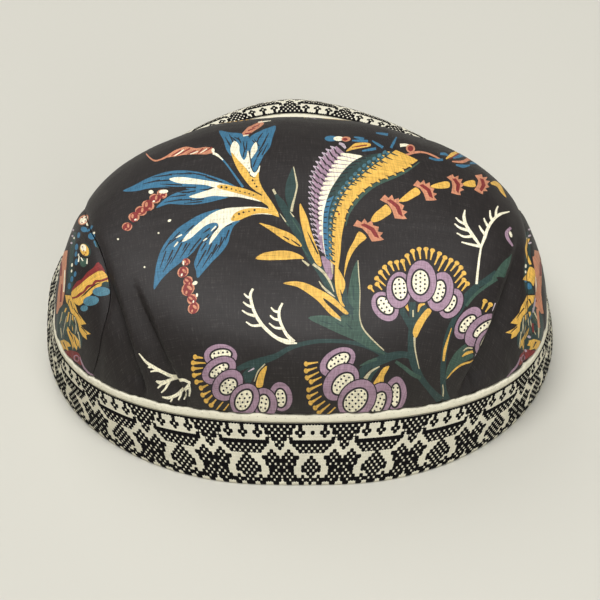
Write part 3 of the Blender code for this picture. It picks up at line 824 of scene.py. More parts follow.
        self.lobes((
            Lobe((385, 306.5), (16, 12), 53, (385.2, 305.5), (9.6, 6.2), 50),
            Lobe((399, 290), (18.2, 12.4), 94, (399.8, 288.5), (10.8, 6.8), 84),
            Lobe((451, 303.5), (15.8, 11), 118, (450, 303.5), (8.8, 5), 118),
            Lobe((440, 291.5), (20, 12.8), 104, (438.6, 291.3), (10.6, 6), 104),
            Lobe((421.5, 281.3), (21, 14.6), 90, (420.4, 282), (12, 8), 90),
            Lobe((337.5, 362), (19.5, 12.5), -32, (338.3, 361.5), (12.2, 6), -33),
            Lobe((341, 382.5), (21, 15.2), -48, (343, 384), (12.6, 8), -47),
            Lobe((396, 394.5), (16.5, 11), -86, (395.7, 396.5), (10.6, 4.4), -84),
            Lobe((379, 400), (17.5, 12.8), -68, (378.4, 403), (10.8, 6.2), -64),
            Lobe((357, 399.5), (22, 16.8), -50, (355.5, 400.5), (13.6, 9.2), -47),
            Lobe((220.5, 356), (16.5, 12), 0, (221, 355), (10, 5.2), -6),
            Lobe((219, 370.5), (18.2, 12.2), -30, (219, 370.6), (10.2, 4.6), -33),
            Lobe((227.5, 385.5), (17.6, 13.2), -48, (228.3, 386.6), (9.2, 6.6), -42),
            Lobe((281, 397), (14.8, 11.2), 78, (280.6, 398.4), (8.8, 5), 85),
            Lobe((265, 404), (15, 11.8), 84, (263.5, 404.6), (8.2, 5.2), 98),
            Lobe((244.5, 400.5), (16.2, 14.2), -70, (243.6, 400.5), (10.2, 7.4), -62),
            Lobe((468, 323), (18.6, 10.2), -54, (467.6, 323.8), (10.4, 5), -46),
            Lobe((481.5, 330), (20.5, 11.2), -44, (484, 328.6), (12.4, 4.2), -38),
            Lobe((486, 342), (14.5, 9), -56, (486, 341), (8, 3), -58),
        ))
        self.blob([(493, 312), (502, 316), (502, 360), (480, 355), (484.5, 346), (489.5, 336), (492.5, 324)],
                  Ink.GROUND)

    def stems(self) -> None:
        """Stems, calyces and leaves of the flower heads."""
        ribbon = self.ribbon
        ribbon([(447, 400), (444, 390), (443, 376), (443.5, 362), (445, 348), (449, 333), (455, 319), (461, 308),
                (468, 298), (478, 287)], (7, 5.4, 5, 5.2, 5.4, 6, 6.4, 6, 5.4, 5), Ink.TEAL)
        ribbon([(463, 298), (474, 288), (486, 280.5), (497, 273)], (4, 5, 6, 7), Ink.TEAL)
        ribbon([(466, 306), (475, 295), (486, 286), (497, 278.5)], (3, 3, 3.2, 4), Ink.GREEN)
        self.blob([(492, 279), (497, 270), (503, 262), (509, 257), (512.5, 253.5), (511, 262), (507.5, 270),
                   (505.5, 277), (499, 276.5)], Ink.GREEN)
        ribbon([(443.4, 361), (445, 350), (448, 339), (451.5, 328)], (2, 3, 1.8, 0.8), Ink.YELLOW)
        ribbon([(443, 399), (443.6, 392), (443, 385)], (1, 1.2, 0.8), Ink.EDGE)
        self.blob([(446, 380), (446.5, 370), (451, 359.5), (457, 351), (465.5, 344), (468, 349), (474, 356),
                   (466, 361), (458, 365.5), (451, 373)], Ink.GREEN)
        ribbon([(462, 356.5), (467, 353), (473, 351.5)], (1, 3, 2.4), Ink.YELLOW)
        ribbon([(463, 351), (467, 348), (472.5, 348)], (0.8, 1.6, 2), Ink.EDGE)
        ribbon([(476.5, 358), (477.5, 353)], (2.6, 3), Ink.LILAC)
        ribbon([(447, 378.5), (454, 370.5), (463, 364), (477, 360.5)], (0.8, 1.6, 2, 1.6), Ink.YELLOW)
        ribbon([(413, 320), (411.5, 332), (411, 344), (412, 356), (415.5, 367), (420.5, 377), (428, 387), (436, 396),
                (441, 401)], (6, 6.4, 6, 6.6, 8, 6.4, 5.6, 7, 9), Ink.TEAL)
        ribbon([(414.5, 337), (415, 347), (416.8, 358), (419.3, 369)], (2.4, 1.4, 1.3, 0.6), Ink.EDGE)
        ribbon([(400, 307), (405, 316), (411, 327)], (6.6, 6, 6), Ink.TEAL)
        ribbon([(412.5, 302), (412.5, 310), (413, 322)], (6.6, 7, 6), Ink.TEAL)
        ribbon([(426, 306), (420, 313), (415, 323)], (5, 5.6, 6), Ink.TEAL)
        ribbon([(413, 310), (413.2, 317)], (1.4, 1.4), Ink.EDGE)
        ribbon([(406, 305), (408.5, 311)], (3.6, 1), Ink.YELLOW)
        ribbon([(425, 304), (420, 305.5), (418, 312)], (1.4, 3.4, 1), Ink.YELLOW)
        self.blob([(427.5, 308.5), (431.5, 311.5), (426, 319.5), (421, 328.5), (416, 338), (412.8, 333), (415, 325),
                   (420, 317)], Ink.YELLOW)
        ribbon([(415, 358.5), (405, 355), (394, 356), (384, 359), (374, 363)], (6, 6.6, 8, 9, 9), Ink.TEAL)
        ribbon([(421, 378), (412, 374), (404, 368), (396, 362)], (4, 4.6, 4, 3), Ink.GREEN)
        ribbon([(378, 361), (369, 365.5), (362, 372), (358.5, 381)], (8, 7, 8, 6), Ink.TEAL)
        ribbon([(359.5, 366), (368, 362), (377, 359)], (0.8, 3, 3), Ink.GREEN)
        ribbon([(378, 366), (371, 374), (367, 383)], (5, 6, 6), Ink.TEAL)
        ribbon([(365, 379), (371, 371.5), (379.5, 366.5)], (4, 2.2, 1), Ink.EDGE)
        self.blob([(389.5, 366.5), (383.5, 368), (378, 376), (373, 384.8), (382.5, 384), (384.5, 376)], Ink.YELLOW)
        ribbon([
            (386, 356), (375, 350), (362, 345), (348, 342), (332, 341), (316, 341.5), (300, 344.5), (288, 349),
            (276, 356), (262, 361), (250, 364.5), (237, 369.5)], (7, 4.6, 4, 4, 4, 4.2, 4.6, 4.6, 5.6, 7.6, 7, 5),
            Ink.TEAL)
        ribbon([(262, 362), (256, 368), (250.5, 376), (247, 385)], (8, 9, 8, 5), Ink.TEAL)
        ribbon([(250, 369.5), (245, 375), (243, 381)], (3, 5, 3), Ink.TEAL)
        ribbon([(248, 372.5), (254, 369)], (0.8, 1.8), Ink.LILAC)
        self.blob([(267, 366), (261, 371), (257, 380), (256, 388.5), (262, 388), (264, 379)], Ink.YELLOW)
        ribbon([(265, 364), (258, 372), (254, 383)], (1, 1.4, 1), Ink.EDGE)
        self.blobs(Ink.GREEN, [
            [(358, 260.5), (353.5, 268), (350, 281), (348, 295), (347.5, 306), (350, 318), (356, 330), (364, 339),
             (374, 347), (385, 354), (378, 346), (369, 337), (362, 327), (359.5, 317), (359.7, 305), (360, 290),
             (358.8, 275)],
            [(308, 318), (322, 315.3), (336, 317), (347, 315), (354, 324), (362, 333), (374, 345), (386, 355),
             (372, 350), (356, 341), (340, 334), (325, 327)]])
        ribbon([(344.5, 279), (345, 292), (347, 305), (350, 315)], (1, 4, 5, 8), Ink.TEAL)
        ribbon([(358, 260.5), (358.8, 275), (360, 290), (359.7, 305), (359.7, 317), (363, 328), (371, 338),
                (384, 350.5)], (1, 1, 0.8, 0.8, 1.1, 1.5, 1.5, 1.1), Ink.EDGE)
        self.strokes([(320, 321, 331, 324), (335, 322, 344, 327), (346, 323, 352, 329), (353, 285, 354, 300),
                      (351, 307, 353, 320), (300, 343, 310, 342)], (0.6, 1.2), Ink.TEAL)
        self.blob([(455, 299), (461, 294), (466, 297), (462, 307), (455, 315), (449, 320), (447, 316), (452, 309)],
                  Ink.TEAL)
        self.strokes([(457, 308, 462, 301)], (2, 2), Ink.BLUE)

    def top_bits(self) -> None:
        """Scraps of flowers that the front seam cuts off."""
        oval, ribbon = self.oval, self.ribbon
        oval((331, 138.5), (6.4, 2.9), 0, Ink.BLUE)
        oval((338.5, 138.6), (5, 2.4), 0, Ink.CREAM)
        oval((346, 139), (4.6, 2.5), 0, Ink.CORAL)
        oval((345, 139.3), (2.6, 1.4), 0, Ink.RED)
        ribbon([(339, 143), (343, 145), (345.5, 148.5)], (2, 3.4, 2), Ink.LILAC)
        self.blob([(346, 151.5), (351, 146.5), (356, 143), (368, 142.6), (370.5, 146), (360, 148.3), (352, 150)],
                  Ink.YELLOW)
        self.strokes([(352, 147.5, 367, 145)], (0.8, 1.4), Ink.RED)
        self.strokes([(352, 140.5, 368, 141), (354, 137, 364, 139), (372, 140.5, 383, 147.5), (362, 151, 376, 148.5),
                      (376, 132.8, 388, 134.5), (396.5, 137, 391, 148)], (1.2, 2.6), Ink.BLUE)
        ribbon([(400, 145.5), (405, 145), (410, 145.5)], (3.6, 3, 2), Ink.CREAM)
        oval((410.5, 148.5), (4.6, 4.2), 20, Ink.CORAL)
        oval((410.5, 148.5), (2.9, 2.8), 20, Ink.RED)
        ribbon([(406, 155), (416, 152.3), (425, 153), (433, 156), (441, 160)], (2.2, 2.2, 1.6, 1.8, 1.2), Ink.CORAL)
        ribbon([(429, 158), (436, 160), (443, 160)], (1.4, 2.4, 2.2), Ink.BLUE)
        ribbon([(440, 154), (445, 154), (449, 156)], (2.6, 3, 1.2), Ink.BLUE)
        ribbon([(446, 159), (452, 154.5), (458, 151.5)], (1.4, 4, 2), Ink.YELLOW)
        ribbon([(449, 159.5), (455, 155.5), (461, 152)], (0.8, 1.6, 0.8), Ink.RED)
        ribbon([(453, 158), (459, 156), (466, 154.5)], (1.4, 3.2, 2.6), Ink.BLUE)
        ribbon([(452, 161.5), (462, 161.5), (469, 159), (476, 158.5)], (1.2, 3, 3, 1.6), Ink.CORAL)
        ribbon([(456, 164.8), (463, 166), (470, 165)], (1.6, 3.4, 1.6), Ink.BLUE)
        ribbon([(470, 163), (477, 162.7), (484, 164.5)], (1.6, 3.6, 1.4), Ink.BLUE)

    def left_side(self) -> None:
        """The scraps on the left side panel: dotted eye, striped band, blue beads and feathers."""
        oval, ribbon = self.oval, self.ribbon
        ribbon([(66, 250), (63.5, 266), (62, 282), (60.5, 298), (58, 314)], (3.6, 5.4, 6.2, 6, 4), Ink.CORAL)
        self.strokes([(61.5, 284, 60.6, 302), (62, 262, 60.5, 276)], (1, 1.6), Ink.RED)
        self.strokes([(60.5, 258, 59.8, 264), (64.6, 270, 63.4, 292)], (1, 1.2), Ink.CREAM)
        ribbon([(75, 232), (72.5, 248), (71, 264), (70.5, 280), (68, 294)], (3, 4, 4.6, 5.6, 5), Ink.TEAL)
        self.dots([(73, 230), (72.4, 236), (71.4, 243)], 1, Ink.LILAC)
        for x, y, size in ((76.5, 247, 2.6), (78.5, 235, 2.4), (76, 254, 2.2), (76.5, 262, 2.6), (75, 274, 2.2),
                           (71.6, 279, 2.4), (69, 286, 2.6)):
            oval((x, y), (size * 0.62, size * 1.3), 8, Ink.BLUE, 12)
        for x, y, size in ((72, 265, 2), (71.5, 271, 1.6), (78.6, 255, 1.4), (80, 210, 1.4), (74, 238, 1.2)):
            oval((x, y), (size * 0.5, size), 8, Ink.CREAM, 10)
        oval((82.8, 219), (6.2, 3.6), -55, Ink.CORAL)
        oval((82.8, 219), (4.9, 2.5), -55, Ink.CREAM)
        self.dots([(81.5, 217), (84, 216.6), (84, 220), (81.4, 222)], 0.7, Ink.RED)
        oval((86.2, 223), (1.3, 1.7), 0, Ink.CREAM, 10)
        oval((83.5, 229), (3.2, 2.8), 30, Ink.BLUE)
        self.strokes([(92, 225, 86, 231)], (2.2, 1.6), Ink.BLUE)
        oval((91, 235.3), (3.4, 3.7), 0, Ink.BLUE)
        oval((93.3, 232), (1.3, 1.2), 0, Ink.CREAM, 10)
        oval((95.5, 243), (4.2, 2.3), 62, Ink.TEAL)
        self.strokes([(93.5, 240, 95.5, 246)], (1.2, 0.8), Ink.BLUE)
        oval((85.5, 250), (7.2, 5.2), 66, Ink.TEAL)
        oval((84.6, 250), (6.4, 4.2), 66, Ink.YELLOW)
        oval((83.6, 248), (3.8, 2.8), 66, Ink.CREAM)
        self.dots([(84, 251), (86, 253), (84.5, 255), (82.5, 247)], 0.7, Ink.RED)
        oval((83.5, 262.5), (3.6, 4.6), 0, Ink.GREEN)
        self.strokes([(81, 257.5, 83, 261), (87.3, 258.5, 87, 264), (79.5, 256, 78.6, 262)], (0.8, 1.2), Ink.CREAM)
        self.blob([(98.5, 262), (104, 273), (93, 276), (83, 284), (72.5, 294), (72, 289), (77, 281.5), (82, 279),
                   (87, 272.5), (93, 268)], Ink.RED)
        self.blob([(101.5, 270), (106.5, 279.5), (96, 283), (88, 289), (80.5, 297), (73, 299), (71.3, 292),
                   (80, 284.5), (90, 276)], Ink.YELLOW)
        ribbon([(71.5, 298), (76, 297.3), (80, 294.3), (84, 291.5), (87.5, 286.5), (92, 284.8), (95, 281),
                (100, 280.2), (106.5, 276.8)], (1.6, 2, 2.6, 2, 2.6, 2, 2.6, 2, 2), Ink.RED, 3)
        self.blob([(73, 299.5), (79, 305.5), (86, 299.5), (93, 291.5), (100, 285), (106.5, 280), (99, 282.5),
                   (91, 288), (83, 296)], Ink.YELLOW)
        oval((104, 283.3), (4, 2.8), -20, Ink.TEAL)
        oval((99.5, 291), (7.8, 4.8), -8, Ink.BEAD)
        oval((90.3, 300.8), (7.4, 5), -12, Ink.BEAD)
        oval((84, 308.3), (3.6, 3), -10, Ink.BEAD)
        self.blob([(58, 312), (64, 304), (72, 308), (78, 322), (82, 345), (73, 351), (61, 346), (56.5, 328)],
                  Ink.TEAL)
        self.veins([(60, 316, 66, 322), (59, 323, 70, 330), (60, 330, 66, 336), (70, 316, 75, 324),
                    (74, 326, 79, 338)], (0.8, 1.2))
        self.spikes([
            (64.8, 295), (70.5, 295.5), (73, 300), (76.5, 307), (78, 313), (81, 317), (86, 324), (80.5, 325),
            (83.5, 329), (90.8, 334), (86, 334.8), (87, 339.8), (82.5, 336.5), (79.3, 331), (78.2, 324),
            (75.2, 316.5), (71.2, 312.5), (69, 306.5), (66, 302)], Ink.YELLOW)
        self.spikes([(65.5, 326), (68, 327), (71, 333), (75, 335.5), (78.8, 341), (79.8, 349), (77.4, 345),
                     (76.4, 350.6), (73.8, 346.4), (72.2, 350), (70.4, 343), (68, 335)], Ink.YELLOW)
        self.spikes([(59.5, 341), (64, 339.5), (68.6, 342.5), (70.3, 346.5), (67.6, 347), (68.6, 351), (65, 348.6),
                     (63.6, 350.4), (61, 346)], Ink.YELLOW)
        self.strokes([(72, 309, 80, 318), (66, 308, 61, 321), (69, 312, 65.5, 330), (73, 315, 72, 331)], (1.5, 0.4),
                     Ink.YELLOW)
        self.strokes([(62, 312, 59, 324), (66.5, 316, 62.5, 335), (71, 314, 69.5, 326), (74.5, 317, 77.5, 334),
                      (60, 328, 61, 338), (78, 332, 80.5, 348), (75.5, 325, 75, 334)], (0.9, 0.4), Ink.EDGE)
        self.veins([(69, 299, 67.5, 305), (74, 308, 81, 319), (69, 331, 73, 342), (81, 327, 87, 334),
                    (63, 342, 66, 348), (74, 337, 76.5, 346), (70.5, 301, 73, 309)], (0.9, 0.4))
        self.strokes([(64, 312, 60.6, 326), (72, 320, 74, 333), (67.5, 322, 64.5, 336)], (1.8, 0.5), Ink.GREEN)
        self.blob([(61, 352), (67, 350.6), (75, 351.5), (80, 356), (81.5, 365), (77.5, 363.5), (71, 358.5)], Ink.RED)
        self.oval((76.2, 358.4), (3.6, 2.6), 70, Ink.MAUVE, 14)
        self.oval((76.3, 358.6), (2.8, 1.8), 70, Ink.RED, 12)
        self.oval((76.4, 358.8), (1.5, 0.9), 70, Ink.GROUND, 10)
        ribbon([(79.5, 357), (81.4, 362), (84, 367.5), (88, 372.5), (93, 377)], (0.7, 1.3, 1.5, 1.7, 1), Ink.MAUVE)

    def right_side(self) -> None:
        """The scraps beside the right pleat and on the right side panel."""
        oval, ribbon = self.oval, self.ribbon
        ribbon([(511, 227.5), (506.8, 232.5), (508, 239), (513, 246)], (2.6, 3.4, 3.2, 2), Ink.MAUVE)
        oval((510.8, 234.3), (3.2, 1.4), 72, Ink.CREAM, 12)
        oval((519.5, 205.3), (2, 1.1), 30, Ink.CREAM, 10)
        ribbon([(529.5, 238), (527.8, 248), (530.5, 257), (532.5, 264)], (2.6, 2.4, 2, 1.4), Ink.YELLOW)
        self.blob([(532, 266), (536, 272), (534.5, 286), (532, 281), (526, 278.8), (530, 273)], Ink.YELLOW)
        ribbon([(534.5, 256), (537, 270), (539.5, 286), (540.5, 300)], (2, 3.4, 3.6, 2.6), Ink.CORAL)
        self.strokes([(540, 284, 541.5, 300), (541, 309, 540.6, 328)], (1.6, 1.4), Ink.CORAL)
        ribbon([(539, 298), (538, 306), (537, 313)], (2, 3, 2), Ink.LILAC)
        ribbon([(534.6, 308), (535, 314)], (2, 2.6), Ink.CREAM)
        oval((533, 319.5), (1.8, 5), 0, Ink.BLUE, 12)
        self.strokes([(536.5, 324, 536.5, 333)], (1.4, 1.2), Ink.RED)
        self.dots([(533, 338), (528.6, 352)], 1.4, Ink.LILAC)
        self.strokes([(531.5, 342, 529.5, 348)], (2, 1.4), Ink.TEAL)

    def draw(self) -> Print:
        """Draw every motif in the order it lies on the cloth."""
        for part in (self.top_bits, self.top_leaf, self.left_leaf, self.low_leaf, self.catkins, self.stems,
                     self.sprays, self.crest, self.trumpets, self.umbels, self.sprigs, self.left_side,
                     self.right_side):
            part()
        return self


def add_mesh(name: str, points: Array, faces: list[list[int]], material: bpy.types.Material) -> bpy.types.Object:
    """Make a mesh object from points in millimetres."""
    mesh = bpy.data.meshes.new(name)
    mesh.from_pydata((points * MM).tolist(), [], faces)
    mesh.update()
    mesh.shade_smooth()
    mesh.materials.append(material)
    piece = bpy.data.objects.new(name, mesh)
    bpy.context.scene.collection.objects.link(piece)
    return piece


def paint(mesh: bpy.types.Mesh, face_colours: Array, face_sizes: Array, name: str = "dye") -> None:
    """Give every face one flat colour, held at its corners."""
    colours = np.repeat(face_colours, face_sizes, axis=0)
    rgba = np.concatenate([colours, np.ones((len(colours), 1))], axis=1)
    layer = mesh.color_attributes.new(name=name, type="FLOAT_COLOR", domain="CORNER")
    layer.data.foreach_set("color", rgba.astype(np.float32).ravel())


def lay_uv(mesh: bpy.types.Mesh, per_vertex: Array) -> None:
    """Give the mesh a UV map from a pair of numbers for each vertex."""
    loops = np.zeros(len(mesh.loops), np.int32)
    mesh.loops.foreach_get("vertex_index", loops)
    layer = mesh.uv_layers.new(name="cloth")
    layer.data.foreach_set("uv", per_vertex[loops].astype(np.float32).ravel())


class Nodes:
    """A small builder for a material's node tree."""

    def __init__(self, name: str) -> None:
        """Start a material with an empty Principled shader."""
        self.material = bpy.data.materials.new(name)
        self.material.use_nodes = True
        self.tree = self.material.node_tree
        self.shader = self.tree.nodes["Principled BSDF"]

    def node(self, kind: str, **values: object) -> bpy.types.Node:
        """Add a node and set its properties and unlinked inputs.

        Args:
            kind: The node's type name without the leading ShaderNode.
            **values: Properties by name, or inputs by name with _ for a blank.

        Returns:
            The new node.
        """
        made = self.tree.nodes.new("ShaderNode" + kind)
        for key, value in values.items():
            if hasattr(made, key):
                setattr(made, key, value)
            else:
                made.inputs[key.replace("_", " ")].default_value = value
        return made

    def link(self, source: bpy.types.NodeSocket, target: bpy.types.NodeSocket) -> None:
        """Join two sockets."""
        self.tree.links.new(source, target)

    def math(self, operation: str, a: object, b: object = 0.0) -> bpy.types.NodeSocket:
        """Add a Math node over sockets or numbers."""
        made = self.tree.nodes.new("ShaderNodeMath")
        made.operation = operation
        for slot, value in zip(made.inputs, (a, b)):
            if isinstance(value, bpy.types.NodeSocket):
                self.link(value, slot)
            else:
                slot.default_value = value
        return made.outputs[0]

    def mix(self, factor: object, a: object, b: object, blend: str = "MIX") -> bpy.types.NodeSocket:
        """Add a colour Mix node over sockets or colours."""
        made = self.tree.nodes.new("ShaderNodeMix")
        made.data_type = "RGBA"
        made.blend_type = blend
        for slot, value in ((made.inputs[0], factor), (made.inputs[6], a), (made.inputs[7], b)):
            if isinstance(value, bpy.types.NodeSocket):
                self.link(value, slot)
            else:
                slot.default_value = (*value, 1.0) if isinstance(value, tuple) else value
        return made.outputs[2]

    def bump(self, height: bpy.types.NodeSocket, distance: float, strength: float = 1.0) -> None:
        """Drive the shader's normal from a height, with the given depth in metres."""
        made = self.node("Bump", Strength=strength, Distance=distance)
        self.link(height, made.inputs["Height"])
        self.link(made.outputs["Normal"], self.shader.inputs["Normal"])


@dataclass(frozen=True)
class CottonFinish:
    """Plain-woven printed cotton: its ink comes from the mesh, its threads from noise and waves."""

    thread_pitch: float = 0.42
    sheen: float = 0.01
    roughness: float = 0.56
    specular: float = 0.42

    def make(self) -> bpy.types.Material:
        """Build the material."""
        n = Nodes("printed_cotton_cloth")
        dye = n.node("VertexColor", layer_name="dye")
        uv = n.node("UVMap", uv_map="cloth")
        along = n.node("Mapping", Scale=(2.6, 0.20, 1.0))
        across = n.node("Mapping", Scale=(0.14, 2.9, 1.0))
        n.link(uv.outputs[0], along.inputs[0])
        n.link(uv.outputs[0], across.inputs[0])
        warp = n.node("TexNoise", Scale=1.0, Detail=2.0, Roughness=0.7)
        weft = n.node("TexNoise", Scale=1.0, Detail=2.0, Roughness=0.7)
        n.link(along.outputs[0], warp.inputs["Vector"])
        n.link(across.outputs[0], weft.inputs["Vector"])
        wide = n.node("TexNoise", Scale=0.06, Detail=3.0, Roughness=0.6)
        n.link(uv.outputs[0], wide.inputs["Vector"])
        threads = n.math("ADD", warp.outputs[0], weft.outputs[0])
        lift = n.math("MULTIPLY", n.math("SUBTRACT", threads, 1.0), 1.3)
        shade = n.math("ADD", n.math("ADD", lift, 0.86), n.math("MULTIPLY", wide.outputs[0], 0.28))
        tone = n.node("CombineColor")
        for slot in tone.inputs[:3]:
            n.link(shade, slot)
        dyed = n.mix(1.0, dye.outputs[0], tone.outputs[0], "MULTIPLY")
        slubs = n.math("MULTIPLY", n.math("MAXIMUM", n.math("SUBTRACT", threads, 1.10), 0.0), 0.36)
        dusty = n.mix(slubs, dyed, (0.31, 0.29, 0.28))
        n.link(dusty, n.shader.inputs["Base Color"])
        split = n.node("SeparateXYZ")
        n.link(uv.outputs[0], split.inputs[0])
        rate = 2.0 * np.pi / self.thread_pitch
        ribs = n.math("MULTIPLY", n.math("SINE", n.math("MULTIPLY", split.outputs[0], rate)),
                      n.math("SINE", n.math("MULTIPLY", split.outputs[1], rate)))
        relief = n.math("ADD", n.math("MULTIPLY", ribs, 0.5), n.math("MULTIPLY", threads, 1.2))
        n.bump(relief, 0.00005, 0.7)
        n.shader.inputs["Roughness"].default_value = self.roughness
        n.shader.inputs["Specular IOR Level"].default_value = self.specular
        n.shader.inputs["Sheen Weight"].default_value = self.sheen
        n.shader.inputs["Sheen Roughness"].default_value = 0.5
        return n.material


@dataclass(frozen=True)
class WovenFinish:
    """Thick woven yarn: its colour comes from the mesh, with plied twist and fuzz from noise."""

    roughness: float = 0.9

    def make(self) -> bpy.types.Material:
        """Build the material."""
        n = Nodes("woven_band_yarn")
        dye = n.node("VertexColor", layer_name="dye")
        uv = n.node("UVMap", uv_map="cloth")
        fuzz = n.node("TexNoise", Scale=3.0, Detail=3.0, Roughness=0.7)
        wide = n.node("TexNoise", Scale=0.12, Detail=2.0, Roughness=0.5)
        n.link(uv.outputs[0], fuzz.inputs["Vector"])
        n.link(uv.outputs[0], wide.inputs["Vector"])
        shade = n.math("ADD", n.math("MULTIPLY", fuzz.outputs[0], 0.5), n.math("MULTIPLY", wide.outputs[0], 0.3))
        shade = n.math("ADD", shade, 0.6)
        tone = n.node("CombineColor")
        for slot in tone.inputs[:3]:
            n.link(shade, slot)
        n.link(n.mix(1.0, dye.outputs[0], tone.outputs[0], "MULTIPLY"), n.shader.inputs["Base Color"])
        n.bump(fuzz.outputs[0], 0.00012, 0.7)
        n.shader.inputs["Roughness"].default_value = self.roughness
        n.shader.inputs["Specular IOR Level"].default_value = 0.08
        n.shader.inputs["Sheen Weight"].default_value = 0.02
        n.shader.inputs["Sheen Roughness"].default_value = 0.5
        return n.material


@dataclass(frozen=True)
class TwillFinish:
    """Cream twill tape: fine slanted ribs, with stitch pricks along its upper edge, each a dip in the bump with
    painted shade darkening its colour.
    """

    colour: tuple[float, float, float] = (0.92, 0.87, 0.68)
    rib_pitch: float = 0.45
    stitch_pitch: float = 2.6

    def make(self) -> bpy.types.Material:
        """Build the material. The UV runs along the tape, then up from 0 to its width."""
        n = Nodes("cream_binding_twill")
        uv = n.node("UVMap", uv_map="cloth")
        split = n.node("SeparateXYZ")
        n.link(uv.outputs[0], split.inputs[0])
        x, y = split.outputs[0], split.outputs[1]
        slant = n.math("ADD", x, n.math("MULTIPLY", y, 0.8))
        ribs = n.math("SINE", n.math("MULTIPLY", slant, 2.0 * np.pi / self.rib_pitch))
        fuzz = n.node("TexNoise", Scale=2.2, Detail=3.0, Roughness=0.7)
        n.link(uv.outputs[0], fuzz.inputs["Vector"])
        place = n.math("SUBTRACT", n.math("FRACT", n.math("DIVIDE", x, self.stitch_pitch)), 0.5)
        sideways = n.math("MULTIPLY", place, self.stitch_pitch / 0.22)
        upward = n.math("DIVIDE", n.math("SUBTRACT", y, 2.35), 0.2)
        far = n.math("ADD", n.math("MULTIPLY", sideways, sideways), n.math("MULTIPLY", upward, upward))
        prick = n.math("MAXIMUM", n.math("SUBTRACT", 1.0, far), 0.0)
        shade = n.math("ADD", n.math("MULTIPLY", fuzz.outputs[0], 0.22), 0.89)
        # Each stitch prick is darkened in colour: painted shade in the needle hole, on top of its dip in the bump.
        shade = n.math("SUBTRACT", shade, n.math("MULTIPLY", prick, 0.35))
        tone = n.node("CombineColor")
        for slot in tone.inputs[:3]:
            n.link(shade, slot)
        n.link(n.mix(1.0, self.colour, tone.outputs[0], "MULTIPLY"), n.shader.inputs["Base Color"])
        relief = n.math("ADD", n.math("MULTIPLY", ribs, 0.35), fuzz.outputs[0])
        relief = n.math("SUBTRACT", relief, n.math("MULTIPLY", prick, 2.0))
        n.bump(relief, 0.00012, 0.8)
        n.shader.inputs["Roughness"].default_value = 0.9
        n.shader.inputs["Specular IOR Level"].default_value = 0.2
        return n.material


